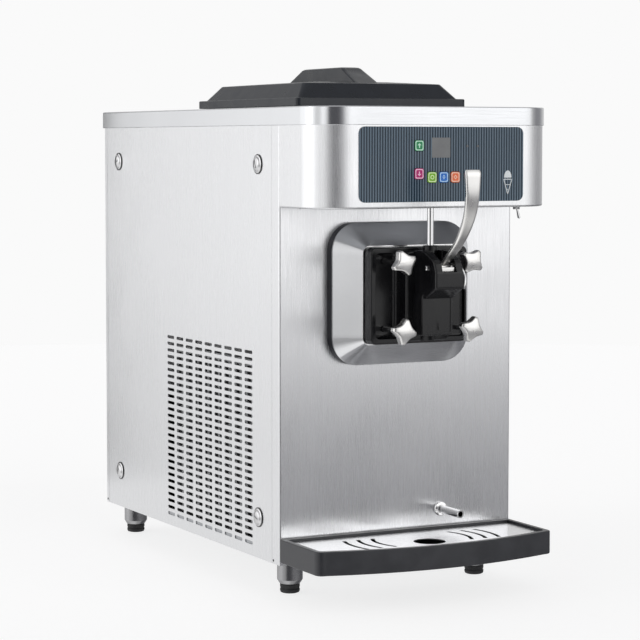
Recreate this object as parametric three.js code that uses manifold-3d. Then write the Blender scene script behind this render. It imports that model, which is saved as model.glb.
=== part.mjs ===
// A countertop soft-serve ice cream machine: single flavour, gravity fed, air cooled.
// Units are millimetres, +Z up. While it is built, the front panel lies in the plane y = 0, the
// front faces -Y, and z = 0 is the underside of the body. The whole machine is then moved so that
// the origin is on the floor, under the centre of its bounding box.
import * as THREE from "three";
import { mergeVertices } from "three/addons/utils/BufferGeometryUtils.js";
import Module from "manifold-3d";

const wasm = await Module();
wasm.setup();

// ---------------------------------------------------------------- driving dimensions
const SHEET = 1.5; // steel sheet
const GAP = 0.3; // between pieces that touch

const BODY = { halfWidth: 200, depth: 680, sheetTop: 665 };
const FRONT_RETURN = 25; // how far the front panel wraps round onto the sides
const REAR_RETURN = 12;

const RIM = { bottom: 651, top: 678, overhang: 2 };
const HEAD = { bottom: 531, front: -130, cornerRadius: 60 };

const VENT = { y: 92.3, z: 17, width: 27, height: 69.5, pitchY: 36.55, pitchZ: 75.25, columns: 9, stacks: 4 };
const FASTENER = { radius: 15, proud: 5, shank: 4, y: [71.3, 615], z: [62.3, 593.7] };

const OVERLAY = { halfWidth: 138, bottom: 539.9, top: 648.7, thickness: 1.5, radius: 10 };
const BUTTON = { width: 15, height: 15.5, thickness: 1.8 };
const BUTTONS = {
  button_up: [-39.9, 621.4],
  button_down: [-39.9, 580.7],
  button_wash: [-18.2, 575.6],
  button_standby: [1.3, 575.6],
  button_auto: [20.8, 575.6],
};
const FASCIA_SCREWS = [[-188, -40], [-42, -50], [42, -50], [188, -40]]; // under the head, x and y
const TOGGLE = { x: 165.6, y: -70, tilt: 14.5, length: 21 };

const AXIS_Z = 401; // height of the freezing cylinder's axis
const BEZEL = { halfWidth: 117, halfHeight: 106.6, wall: 16, front: -50, radius: 43 };
const DOOR = { x: -4, halfWidth: 82, halfHeight: 71.5, z: 400.5, back: -52.3, front: -72, radius: 9 };
const COLUMN = { half: 37, front: -90 };
const OUTLET = { half: 26, front: -118, bottom: 344, top: 408 };
const STUD = { x: { left: -59, right: 55 }, z: { lower: 351.5, upper: 451.5 }, radius: 4, front: -124 };
const KNOB = { back: -107, front: -131, tip: 19, valley: 12.6 };
const KNOB_TURNS = { left_upper: 1.15, left_lower: 0.2, right_upper: 0.67, right_lower: 0.37 };
const VALVE = { y: -96, radius: 11, bore: 11.5, bottom: 352, top: 475 };
const PIVOT = { y: -127, z: 443.5, radius: 3 };
const ROD = { radius: 5, top: 548 };

const CYLINDER = { inner: 52, outer: 56, front: -44, back: 330 };
const HOPPER = { halfWidth: 110, front: 82, back: 368, bottom: 526, wall: 2, flange: 24 };
const FEED = { y: 120, radius: 9 };
const LID = { halfWidth: 147.3, front: 46.6, back: 405, bottom: 680.6, ledge: 693, top: 716 };

const TRAY = { side: -110, corner: -124.2, bulge: -180, bottom: 4.5, top: 39.8, wall: 8 };
const GRID = { bottom: 34, thickness: 2, holeY: -97, holeRadius: 24 };
const DRAIN = { x: 74.8, z: 65.3, radius: 6, length: 62 };
const LEG = { x: 162, y: [42, 640], sleeve: 19.5, pad: 15, sleeveBottom: -36, floor: -50 };

const GEARBOX = { front: 334, back: 396, half: 56 };
const PULLEY = { y: [408, 424], driven: 80, motor: 30, motorX: 75, motorZ: 150 };

// ---------------------------------------------------------------- materials
const material = (color, roughness, metalness) =>
  new THREE.MeshStandardMaterial({ color, roughness, metalness });
const brushedSteel = material(0xc9cbd0, 0.35, 1);
const polishedSteel = material(0xd8d8d6, 0.18, 1);
const blackPlastic = material(0x0f1012, 0.25, 0);
const greyPlastic = material(0x3a3b42, 0.5, 0);
const overlayFilm = material(0x2f4355, 0.3, 0);
const rubber = material(0x141414, 0.8, 0);
const aluminium = material(0xa8abad, 0.45, 1);
const blackPaint = material(0x17181a, 0.5, 0.2);
const circuitGreen = material(0x1f5a38, 0.5, 0);
const buttonColours = {
  button_up: material(0x1f8f5a, 0.4, 0),
  button_down: material(0xb51f6b, 0.4, 0),
  button_wash: material(0x6bb52a, 0.4, 0),
  button_standby: material(0x1f6fc4, 0.4, 0),
  button_auto: material(0xe8734a, 0.4, 0),
};

// ---------------------------------------------------------------- solids and shapes
// A closed three.js geometry as a manifold solid that faces out.
function toSolid(geometry) {
  const bare = new THREE.BufferGeometry();
  const source = geometry.index ? geometry.toNonIndexed() : geometry;
  bare.setAttribute("position", source.getAttribute("position"));
  const merged = mergeVertices(bare, 1e-4);
  const index = merged.index.array;
  const kept = [];
  for (let i = 0; i < index.length; i += 3) {
    const [a, b, c] = [index[i], index[i + 1], index[i + 2]];
    if (a !== b && b !== c && c !== a) kept.push(a, b, c);
  }
  const vertProperties = merged.getAttribute("position").array;
  const make = (triVerts) =>
    new wasm.Manifold(
      new wasm.Mesh({ numProp: 3, vertProperties, triVerts: new Uint32Array(triVerts) }),
    );
  const solid = make(kept);
  return solid.volume() > 0 ? solid : make(kept.reverse());
}

function toGeometry(solid) {
  const mesh = solid.getMesh();
  const positions = new Float32Array(mesh.numVert * 3);
  for (let i = 0; i < mesh.numVert; i++) {
    const start = i * mesh.numProp;
    positions.set(mesh.vertProperties.subarray(start, start + 3), i * 3);
  }
  const geometry = new THREE.BufferGeometry();
  geometry.setAttribute("position", new THREE.BufferAttribute(positions, 3));
  geometry.setIndex(new THREE.BufferAttribute(mesh.triVerts, 1));
  geometry.computeVertexNormals();
  return geometry;
}

const join = (...parts) =>
  toGeometry(parts.map(toSolid).reduce((whole, part) => whole.add(part)));
const cut = (body, ...tools) =>
  toGeometry(tools.map(toSolid).reduce((rest, tool) => rest.subtract(tool), toSolid(body)));

// A box from its low and high corner.
function box([x0, y0, z0], [x1, y1, z1]) {
  return new THREE.BoxGeometry(x1 - x0, y1 - y0, z1 - z0).translate(
    (x0 + x1) / 2,
    (y0 + y1) / 2,
    (z0 + z1) / 2,
  );
}

// Cylinders along each axis, from one end to the other, through the given point of the other two.
function rodX(radius, x0, x1, y, z, sides = 16) {
  return new THREE.CylinderGeometry(radius, radius, x1 - x0, sides)
    .rotateZ(Math.PI / 2)
    .translate((x0 + x1) / 2, y, z);
}
function rodY(radius, y0, y1, x, z, sides = 16) {
  return new THREE.CylinderGeometry(radius, radius, y1 - y0, sides).translate(x, (y0 + y1) / 2, z);
}
function rodZ(radius, z0, z1, x, y, sides = 16) {
  return new THREE.CylinderGeometry(radius, radius, z1 - z0, sides)
    .rotateX(Math.PI / 2)
    .translate(x, y, (z0 + z1) / 2);
}

// A solid of revolution about Z: the profile lists [radius, z] and starts and ends on the axis,
// or closes on itself.
function turned(profile, sides = 24) {
  const points = profile.map(([radius, height]) => new THREE.Vector2(radius, height));
  return new THREE.LatheGeometry(points, sides).rotateX(Math.PI / 2);
}

// Extrusions of a flat shape: drawn in XY and raised along Z, drawn in XZ and pushed along Y,
// and drawn in YZ and pushed along X.
function prismZ(shape, z0, z1, curveSegments = 6) {
  const options = { depth: z1 - z0, bevelEnabled: false, curveSegments };
  return new THREE.ExtrudeGeometry(shape, options).translate(0, 0, z0);
}
function prismY(shape, y0, y1, curveSegments = 6) {
  const options = { depth: y1 - y0, bevelEnabled: false, curveSegments };
  return new THREE.ExtrudeGeometry(shape, options).rotateX(Math.PI / 2).translate(0, y1, 0);
}
function prismX(shape, x0, x1, curveSegments = 6) {
  const yzToXy = new THREE.Matrix4().makeBasis(
    new THREE.Vector3(0, 1, 0),
    new THREE.Vector3(0, 0, 1),
    new THREE.Vector3(1, 0, 0),
  );
  const options = { depth: x1 - x0, bevelEnabled: false, curveSegments };
  return new THREE.ExtrudeGeometry(shape, options).applyMatrix4(yzToXy).translate(x0, 0, 0);
}

const polygon = (points) => new THREE.Shape(points.map(([x, y]) => new THREE.Vector2(x, y)));

// A rectangle with round corners, by its centre and half sizes.
function roundedRectangle(centreX, centreY, halfWidth, halfHeight, radius) {
  const shape = new THREE.Shape();
  const [left, right] = [centreX - halfWidth, centreX + halfWidth];
  const [low, high] = [centreY - halfHeight, centreY + halfHeight];
  shape.moveTo(left + radius, low);
  shape.absarc(right - radius, low + radius, radius, -Math.PI / 2, 0);
  shape.absarc(right - radius, high - radius, radius, 0, Math.PI / 2);
  shape.absarc(left + radius, high - radius, radius, Math.PI / 2, Math.PI);
  shape.absarc(left + radius, low + radius, radius, Math.PI, 1.5 * Math.PI);
  return shape;
}

// The points of a round-cornered rectangle, the same number for every size, counter-clockwise.
function ringPoints(halfWidth, halfHeight, radius, stepsPerCorner = 5) {
  const points = [];
  for (let corner = 0; corner < 4; corner++) {
    const signX = corner === 0 || corner === 3 ? 1 : -1;
    const signY = corner < 2 ? 1 : -1;
    for (let step = 0; step <= stepsPerCorner; step++) {
      const angle = ((corner + step / stepsPerCorner) * Math.PI) / 2;
      points.push([
        signX * (halfWidth - radius) + radius * Math.cos(angle),
        signY * (halfHeight - radius) + radius * Math.sin(angle),
      ]);
    }
  }
  return points;
}

// Skins a list of rings that have the same number of points. The ends are capped, or the last
// ring joins the first when loop is true.
function skin(rings, loop = false) {
  const count = rings[0].length;
  const index = [];
  const stretches = loop ? rings.length : rings.length - 1;
  for (let i = 0; i < stretches; i++) {
    const [near, far] = [i * count, ((i + 1) % rings.length) * count];
    for (let j = 0; j < count; j++) {
      const next = (j + 1) % count;
      index.push(near + j, near + next, far + next, near + j, far + next, far + j);
    }
  }
  if (!loop) {
    const last = (rings.length - 1) * count;
    for (let j = 1; j < count - 1; j++) {
      index.push(0, j + 1, j);
      index.push(last, last + j, last + j + 1);
    }
  }
  const geometry = new THREE.BufferGeometry();
  geometry.setAttribute("position", new THREE.Float32BufferAttribute(rings.flat(2), 3));
  geometry.setIndex(index);
  return geometry;
}

// ---------------------------------------------------------------- body shell
// A panel of sheet that wraps round both of its upright edges.
function wrappedPanel(face, inward, returnDepth) {
  const w = BODY.halfWidth;
  const fold = 3; // outer radius of the bend
  const at = (depth) => face + inward * depth;
  const points = [
    [-w, at(returnDepth)],
    [-w, at(fold)],
    [-w + fold * 0.3, at(fold * 0.3)],
    [-w + fold, at(0)],
    [w - fold, at(0)],
    [w - fold * 0.3, at(fold * 0.3)],
    [w, at(fold)],
    [w, at(returnDepth)],
    [w - SHEET, at(returnDepth)],
    [w - SHEET, at(SHEET)],
    [-w + SHEET, at(SHEET)],
    [-w + SHEET, at(returnDepth)],
  ];
  return prismZ(polygon(points), 0, BODY.sheetTop);
}

function frontPanel() {
  const opening = roundedRectangle(DOOR.x, AXIS_Z, BEZEL.halfWidth - 18, BEZEL.halfHeight - 18, 20);
  return cut(
    wrappedPanel(0, 1, FRONT_RETURN),
    prismY(opening, -5, 5),
    rodY(DRAIN.radius + 1, -5, 5, DRAIN.x, DRAIN.z),
  );
}

function rearPanel() {
  const slots = [];
  for (let row = 0; row < 10; row++) {
    for (const centre of [-95, 95]) {
      const z = 330 + row * 26;
      slots.push(box([centre - 70, BODY.depth - 5, z], [centre + 70, BODY.depth + 5, z + 8]));
    }
  }
  const inlet = rodY(11, BODY.depth - 5, BODY.depth + 5, 120, 70);
  return cut(wrappedPanel(BODY.depth, -1, REAR_RETURN), ...slots, inlet);
}

// A side panel at x = 0..SHEET, with its cooling openings and the fasteners' holes. Each opening
// stands for a stack of seven short slots, which keeps the panel light to simulate.
function sidePanel() {
  const seam = 0.6;
  const [front, rear] = [FRONT_RETURN + seam, BODY.depth - REAR_RETURN - seam];
  const openings = [];
  for (let column = 0; column < VENT.columns; column++) {
    for (let stack = 0; stack < VENT.stacks; stack++) {
      const y = VENT.y + column * VENT.pitchY;
      const z = VENT.z + stack * VENT.pitchZ;
      openings.push(box([-1, y, z], [SHEET + 1, y + VENT.width, z + VENT.height]));
    }
  }
  const holes = FASTENER.y.flatMap((y) =>
    FASTENER.z.map((z) => rodX(FASTENER.shank + 0.6, -1, SHEET + 1, y, z, 12)),
  );
  return cut(box([0, front, 0], [SHEET, rear, BODY.sheetTop]), ...openings, ...holes);
}

// A large slotted panel fastener on the plane x = 0, its head towards -X.
function panelFastener() {
  const { radius, proud, shank } = FASTENER;
  const head = turned(
    [
      [0, -14],
      [shank, -14],
      [shank, GAP],
      [radius, GAP],
      [radius, proud * 0.45],
      [radius * 0.7, proud],
      [0, proud],
    ],
    12,
  );
  const slot = box([-radius * 0.5, -1.2, proud - 1.8], [radius * 0.5, 1.2, proud + 1]);
  return cut(head, slot).rotateY(-Math.PI / 2);
}

// A welded frame: the floor pan with its upturned edge, four corner angles, the tray's rails.
function chassisFrame() {
  const clear = SHEET + GAP;
  const [x, y0, y1] = [BODY.halfWidth - clear, clear, BODY.depth - clear];
  const [floor, edge, leg] = [2, 22, 18];
  const pan = cut(box([-x, y0, 0], [x, y1, edge]), box([-x + 2, y0 + 2, floor], [x - 2, y1 - 2, edge + 1]));
  const angles = [-1, 1].flatMap((side) =>
    [y0, y1].map((y) => {
      const [inwardX, inwardY] = [-side, y === y0 ? 1 : -1];
      const corner = [side * x, y];
      return prismZ(
        polygon([
          corner,
          [corner[0] + inwardX * leg, corner[1]],
          [corner[0] + inwardX * leg, corner[1] + inwardY * 2],
          [corner[0] + inwardX * 2, corner[1] + inwardY * 2],
          [corner[0] + inwardX * 2, corner[1] + inwardY * leg],
          [corner[0], corner[1] + inwardY * leg],
        ]),
        0,
        RIM.top - SHEET - GAP,
      );
    }),
  );
  const deck = [-1, 1].map((side) =>
    box([side * 150 - 12, y0 + 1, 316], [side * 150 + 12, y1 - 1, 320]),
  );
  const ties = [y0 + 1, y1 - 3].map((y) => box([-x + 1, y, 300], [x - 1, y + 2, 322]));
  return join(pan, ...angles, ...deck, ...ties);
}

// The rails that the drip tray stands on reach out under it from the floor pan.
function trayRails() {
  return [-1, 1].map((side) =>
    box([side * 120 - 8, -112, 1], [side * 120 + 8, 12, TRAY.bottom - GAP]),
  );
}

// The plan of the head, and of the top rim when grown: square at the back, round at the front.
function headPlan(grow, back) {
  const w = BODY.halfWidth + grow;
  const r = HEAD.cornerRadius + grow;
  const front = HEAD.front - grow;
  const shape = new THREE.Shape();
  shape.moveTo(w, back);
  shape.lineTo(-w, back);
  shape.lineTo(-w, front + r);
  shape.absarc(-w + r, front + r, r, Math.PI, 1.5 * Math.PI);
  shape.absarc(w - r, front + r, r, 1.5 * Math.PI, 2 * Math.PI);
  return shape;
}

function topCover() {
  const back = BODY.depth + RIM.overhang;
  const { halfWidth, front, back: rear } = HOPPER;
  return cut(
    prismZ(headPlan(RIM.overhang, back), RIM.bottom, RIM.top, 8),
    prismZ(headPlan(RIM.overhang - SHEET, back - SHEET), RIM.bottom - 5, RIM.top - SHEET, 8),
    box([-halfWidth - 3, front - 3, RIM.top - 10], [halfWidth + 3, rear + 3, RIM.top + 5]),
  );
}

// The folded sheet round the controls, with its floor, and the collar of the power switch.
function headFascia() {
  const { bottom, front } = HEAD;
  const shell = cut(
    prismZ(headPlan(0, -GAP), bottom, BODY.sheetTop, 8),
    prismZ(headPlan(-SHEET, 20), bottom + SHEET, BODY.sheetTop + 5, 8),
    box([-75, front - 5, 562], [75, front + 5, 642]),
    rodZ(ROD.radius + 1.2, bottom - 5, bottom + 5, 0, VALVE.y),
  );
  const collar = rodZ(7, bottom - 6, bottom + 3, TOGGLE.x, TOGGLE.y, 6);
  const screws = FASCIA_SCREWS.map(([x, y]) => rodZ(3.5, bottom - 2, bottom + 3, x, y, 10));
  return cut(
    join(shell, collar, ...screws),
    rodZ(4.6, bottom - 10, bottom + 10, TOGGLE.x, TOGGLE.y, 12),
  );
}

function switchLever() {
  const { length, tilt } = TOGGLE;
  const lever = turned(
    [
      [0, -length],
      [2.2, -length + 0.6],
      [2.2, -length + 3],
      [1.4, -4],
      [1.4, 5],
      [0, 5],
    ],
    10,
  );
  return lever.rotateY(THREE.MathUtils.degToRad(-tilt));
}

// ---------------------------------------------------------------- controls
function controlOverlay() {
  const { halfWidth, bottom, top, radius, thickness } = OVERLAY;
  const outline = roundedRectangle(0, (bottom + top) / 2, halfWidth, (top - bottom) / 2, radius);
  for (const [x, z] of Object.values(BUTTONS)) {
    outline.holes.push(
      roundedRectangle(x, z, BUTTON.width / 2 + 0.4, BUTTON.height / 2 + 0.4, 3.4),
    );
  }
  const back = HEAD.front - GAP;
  return prismY(outline, back - thickness, back, 2);
}

function keyPad() {
  const { width, height, thickness } = BUTTON;
  return prismY(roundedRectangle(0, 0, width / 2, height / 2, 3), -thickness, 0, 2);
}

// The circuit board behind the overlay, on four spacers that reach the sheet.
function controlBoard() {
  const sheetBack = HEAD.front + SHEET + GAP;
  const [front, back] = [sheetBack + 9, sheetBack + 10.6];
  const spacers = [-84, 84].flatMap((x) => [556, 648].map((z) => rodY(3, sheetBack, front + 0.5, x, z, 8)));
  const parts = [
    box([-20, front - 7, 604], [13, front + 0.5, 633]),
    box([40, back - 0.5, 570], [78, back + 16, 610]),
    box([-70, back - 0.5, 600], [-40, back + 10, 640]),
  ];
  return join(box([-90, front, 550], [90, back, 654]), ...spacers, ...parts);
}

// ---------------------------------------------------------------- dispensing door
// The sloping frame that covers the gap between the front panel and the door.
function doorBezel() {
  const { halfWidth, halfHeight, wall, front, radius } = BEZEL;
  const ring = (w, h, r, y, z = AXIS_Z) => ringPoints(w, h, r).map(([x, up]) => [DOOR.x + x, y, z + up]);
  const thin = SHEET + 0.5;
  const inner = [DOOR.halfWidth, DOOR.halfHeight, DOOR.radius];
  return skin(
    [
      ring(halfWidth, halfHeight, radius, -GAP),
      ring(halfWidth, halfHeight, radius, -wall),
      ring(...inner, front, DOOR.z),
      ring(...inner, front + thin, DOOR.z),
      ring(halfWidth - thin, halfHeight - thin, radius - thin, -wall + 0.8),
      ring(halfWidth - thin, halfHeight - thin, radius - thin, -GAP),
    ],
    true,
  );
}

// Where the four studs stand, as x and z.
function studPlaces() {
  return Object.values(STUD.x).flatMap((x) => Object.values(STUD.z).map((z) => [x, z]));
}

// The moulded door: plate with side pockets, centre column, outlet block and the lever's clevis.
function freezerDoor() {
  const { x, halfWidth, halfHeight, z, back, front, radius } = DOOR;
  const plate = prismY(roundedRectangle(x, z, halfWidth, halfHeight, radius), front, back);
  const pockets = [-1, 1].map((side) => {
    const [inner, outer] = [side * COLUMN.half, x + side * (halfWidth - 8)];
    const pocket = roundedRectangle((inner + outer) / 2, z, Math.abs(outer - inner) / 2, halfHeight - 8, 6);
    return prismY(pocket, front - 5, front + 12, 3);
  });
  const columnPlan = roundedRectangle(0, z, COLUMN.half, halfHeight - 5, 7);
  const column = prismY(columnPlan, COLUMN.front, front + 1, 3);
  const outletMiddle = (OUTLET.bottom + OUTLET.top) / 2;
  const outletHeight = (OUTLET.top - OUTLET.bottom) / 2;
  const outlet = join(
    prismY(roundedRectangle(0, outletMiddle, OUTLET.half, outletHeight, 6), OUTLET.front, -86, 3),
    prismZ(roundedRectangle(0, -104, 20, 18, 3), OUTLET.top - 8, 468, 2),
  );
  const clevis = prismX(
    polygon([
      [-88, 396],
      [-124, 399],
      [-153.4, 417],
      [-153.4, 437],
      [-148, 449],
      [-136, 460],
      [-118, 467],
      [-88, 468],
    ]),
    -23.5,
    23.5,
  );
  const plug = rodY(50, back - 1, -40, 0, AXIS_Z, 24);
  const body = join(cut(plate, ...pockets), column, outlet, clevis, plug);
  const studHoles = studPlaces().map(([across, up]) => rodY(STUD.radius + 0.7, -160, -30, across, up, 8));
  return cut(
    body,
    ...studHoles,
    rodZ(VALVE.bore, 340, 480, 0, VALVE.y, 20),
    rodZ(14, 325, VALVE.bottom - 1, 0, VALVE.y, 20),
    rodY(7, VALVE.y, -30, 0, 362, 16),
    box([-12, -149.6, 424], [12, -112, 480]),
    box([-12, -160, 438.3], [12, -140, 480]),
    box([-8.5, -130, 430], [8.5, VALVE.y, 480]),
    rodX(PIVOT.radius + 0.4, -30, 30, PIVOT.y, PIVOT.z, 12),
  );
}

function doorGasket() {
  const ring = new THREE.Shape().absarc(0, AXIS_Z, 62, 0, 2 * Math.PI);
  ring.holes.push(new THREE.Path().absarc(0, AXIS_Z, 54, 0, 2 * Math.PI, true));
  return prismY(ring, DOOR.back + GAP, -49.3, 16);
}

// The outlet's screw cap with a six-pointed opening.
function nozzleCap() {
  const star = new THREE.Shape();
  const points = 6;
  for (let i = 0; i < 2 * points; i++) {
    const radius = i % 2 ? 5 : 9;
    const angle = (i * Math.PI) / points;
    const [x, y] = [radius * Math.cos(angle), VALVE.y + radius * Math.sin(angle)];
    if (i) star.lineTo(x, y);
    else star.moveTo(x, y);
  }
  const [bottom, top] = [OUTLET.bottom - 2, VALVE.bottom - 1 - GAP];
  return cut(rodZ(13.5, bottom, top, 0, VALVE.y, 24), prismZ(star, bottom - 5, top + 5));
}

function drawValve() {
  const { y, radius, bottom, top } = VALVE;
  return cut(rodZ(radius, bottom, top, 0, y, 24), box([-7.6, y - 20, 434], [7.6, y + 5, 453]));
}

// The draw lever: a hub on the pin, a short arm to the valve, and the curved handle.
function drawLever() {
  const path = new THREE.CatmullRomCurve3(
    [
      [-132, 449],
      [-144, 455.5],
      [-177.6, 481.5],
      [-202, 512.5],
      [-213, 544],
      [-214.5, 587],
    ].map(([y, z]) => new THREE.Vector3(0, y, z)),
  );
  const steps = 10;
  const rings = [];
  for (let i = 0; i <= steps; i++) {
    const t = i / steps;
    const centre = path.getPointAt(t);
    const along = path.getTangentAt(t);
    const across = new THREE.Vector3(0, along.z, -along.y);
    const halfWidth = THREE.MathUtils.lerp(4.6, 11.5, Math.min(1, t * 1.1)) + (t > 0.9 ? 2.2 : 0);
    const halfThick = THREE.MathUtils.lerp(2.9, 6, t);
    rings.push(
      ringPoints(halfWidth, halfThick, halfThick * 0.6, 2).map(([x, d]) => [
        x,
        centre.y + across.y * d,
        centre.z + across.z * d,
      ]),
    );
  }
  const { y, z, radius } = PIVOT;
  const ball = new THREE.SphereGeometry(7, 12, 8).translate(0, VALVE.y - 2, z);
  return cut(
    join(
      toGeometry(toSolid(skin(rings))),
      rodX(7.5, -11.5, 11.5, y, z, 20),
      box([-5, y - 10, z - 1], [5, y, z + 6]),
      box([-11, y - 20.5, z - 4.5], [11, y - 9, z + 1.5]),
      box([-4, y, z - 3.5], [4, VALVE.y - 2, z + 3.5]),
      ball,
    ),
    rodX(radius + 0.3, -20, 20, y, z, 12),
  );
}

// The lever's pin: straight through the clevis, with its right end hooked down to pull it out by.
function leverPin() {
  const { y, z, radius } = PIVOT;
  const at = (across, drop) => new THREE.Vector3(across, y, z - drop);
  const path = new THREE.CurvePath();
  path.add(new THREE.LineCurve3(at(-26.7, 0), at(26, 0)));
  path.add(new THREE.CubicBezierCurve3(at(26, 0), at(38, 0), at(43.5, 16), at(38.5, 32)));
  const section = new THREE.Shape().absarc(0, 0, radius, 0, 2 * Math.PI);
  return new THREE.ExtrudeGeometry(section, { steps: 24, curveSegments: 4, extrudePath: path });
}

// A four-lobed knob that screws onto a stud, turned so that its bore opens towards +Y.
function handKnob() {
  const { back, front, tip, valley } = KNOB;
  const outline = [];
  const steps = 24;
  for (let i = 0; i < steps; i++) {
    const angle = (i / steps) * 2 * Math.PI;
    const lobe = (1 + Math.cos(4 * angle)) / 2;
    outline.push([angle, valley + (tip - valley) * lobe]);
  }
  const ring = (scale, y) =>
    outline.map(([angle, radius]) => [
      radius * scale * Math.cos(angle),
      y,
      radius * scale * Math.sin(angle),
    ]);
  const star = skin([ring(0.9, 0), ring(1, -3), ring(1, -10), ring(0.72, -16)]);
  const depth = back - front;
  const hub = rodY(8, -2, depth - 16, 0, 0, 12);
  return cut(
    join(toGeometry(toSolid(star)), hub),
    rodY(STUD.radius + 0.4, -10, depth, 0, 0, 10),
  ).translate(0, front + 16, 0);
}

// ---------------------------------------------------------------- tray, drain and feet
function trayPlan(inset, back) {
  const x = BODY.halfWidth - inset;
  const shape = new THREE.Shape();
  shape.moveTo(x, back);
  shape.lineTo(-x, back);
  shape.lineTo(-x, TRAY.side + inset * 0.6);
  shape.quadraticCurveTo(-x, TRAY.corner + inset, -x + 14, TRAY.corner + inset);
  shape.quadraticCurveTo(0, TRAY.bulge + inset, x - 14, TRAY.corner + inset);
  shape.quadraticCurveTo(x, TRAY.corner + inset, x, TRAY.side + inset * 0.6);
  return shape;
}

function dripTray() {
  const { bottom, top, wall } = TRAY;
  return cut(
    prismZ(trayPlan(0, -1), bottom, top),
    prismZ(trayPlan(wall, -1 - wall), GRID.bottom - GAP, top + 5),
    prismZ(trayPlan(wall + 6, -7 - wall), bottom + 4, top + 5),
  );
}

// The tray's cover: slots that curve round a central hole.
function trayGrid() {
  const { holeY, holeRadius, bottom, thickness } = GRID;
  const outline = trayPlan(TRAY.wall + 0.6, -1.6 - TRAY.wall);
  outline.holes.push(new THREE.Path().absarc(0, holeY, holeRadius, 0, 2 * Math.PI, true));
  for (const side of [0, Math.PI]) {
    for (const radius of [74, 96, 118]) {
      const half = 38 / radius;
      const slot = new THREE.Path();
      const middle = holeY + 22;
      slot.absarc(0, middle, radius + 3, side - half, side + half);
      slot.absarc(0, middle, radius - 3, side + half, side - half, true);
      slot.closePath();
      outline.holes.push(slot);
    }
  }
  return prismZ(outline, bottom, bottom + thickness);
}

function drainPipe() {
  const { x, z, radius, length } = DRAIN;
  return cut(
    join(rodY(radius, -length, 40, x, z, 16), rodY(11, -4, -GAP, x, z, 20)),
    rodY(radius - 2, -length - 5, 45, x, z, 12),
  );
}

function legSleeve() {
  const { sleeve, sleeveBottom } = LEG;
  return turned([
    [7, -GAP],
    [7, sleeveBottom],
    [sleeve - 4, sleeveBottom],
    [sleeve, sleeveBottom + 6],
    [sleeve, -GAP],
    [7, -GAP],
  ], 16);
}

function legPad() {
  const { pad, sleeveBottom, floor } = LEG;
  return turned([
    [0, floor],
    [pad - 3, floor],
    [pad, floor + 3],
    [pad, sleeveBottom - GAP],
    [6, sleeveBottom - GAP],
    [6, -8],
    [0, -8],
  ], 16);
}

// ---------------------------------------------------------------- hopper and lid
// The mix tank hangs by its flange in the top cover, and its feed tube reaches the cylinder.
function mixHopper() {
  const { halfWidth, front, back, bottom, wall, flange } = HOPPER;
  const [middle, half] = [(front + back) / 2, (back - front) / 2];
  const [seat, lip] = [RIM.top + GAP, RIM.top + GAP + 2];
  const block = (grow, low, high) =>
    box([-halfWidth - grow, middle - half - grow, low], [halfWidth + grow, middle + half + grow, high]);
  const tank = block(0, bottom, lip);
  const edge = block(flange, seat, lip);
  const inside = block(-wall, bottom + wall, lip + 5);
  const tube = rodZ(FEED.radius + 3, AXIS_Z + CYLINDER.outer + 2, bottom + 1, 0, FEED.y);
  return cut(join(tank, edge, tube), inside, rodZ(FEED.radius, 430, bottom + 5, 0, FEED.y));
}

// A thin moulded lid: skirt, ledge, sloping sides, slightly domed top and a raised grip.
function hopperLid() {
  const { halfWidth, front, back, bottom, ledge, top } = LID;
  const [middle, half] = [(front + back) / 2, (back - front) / 2];
  const ring = (inset, z, r) =>
    ringPoints(halfWidth - inset, half - inset, r).map(([x, y]) => [x, middle + y, z]);
  const outside = skin([
    ring(0, bottom, 8),
    ring(0, ledge, 8),
    ring(10, ledge, 7),
    ring(27, top, 12),
    ring(85, top + 4, 12),
  ]);
  const inside = skin([
    ring(3, bottom - 1, 6),
    ring(3, ledge - 3, 6),
    ring(13, ledge - 3, 6),
    ring(30, top - 3, 10),
    ring(88, top + 1, 10),
  ]);
  // The grip is a ridge along Y with long sloping ends.
  const gripRing = (w, y0, y1, z) =>
    ringPoints(w, (y1 - y0) / 2, 5, 2).map(([x, y]) => [x, (y0 + y1) / 2 + y, z]);
  const grip = skin([
    gripRing(21, 92, 342, top - 1),
    gripRing(18, 146, 288, top + 24),
    gripRing(14, 156, 278, top + 27),
  ]);
  const gripHollow = skin([gripRing(17.5, 104, 330, top - 6), gripRing(14.5, 152, 282, top + 21)]);
  const [shell, hollow] = [toSolid(outside).add(toSolid(grip)), toSolid(inside).add(toSolid(gripHollow))];
  return toGeometry(shell.subtract(hollow));
}

// ---------------------------------------------------------------- freezing and driving
// The freezing cylinder with its front flange and the four studs welded to it.
function freezingCylinder() {
  const { inner, outer, front, back } = CYLINDER;
  const flange = prismY(
    roundedRectangle(DOOR.x, DOOR.z, DOOR.halfWidth - 4, DOOR.halfHeight - 4, 6),
    -49,
    front,
    2,
  );
  const studs = studPlaces().map(([x, z]) => rodY(STUD.radius, STUD.front, -46, x, z, 8));
  return cut(
    join(flange, rodY(outer, front - 1, back, 0, AXIS_Z, 24), ...studs),
    rodY(inner, -60, back - 6, 0, AXIS_Z, 24),
    rodY(12, back - 10, back + 10, 0, AXIS_Z, 16),
    rodZ(FEED.radius, AXIS_Z + 20, AXIS_Z + 80, 0, FEED.y, 12),
  );
}

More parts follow.
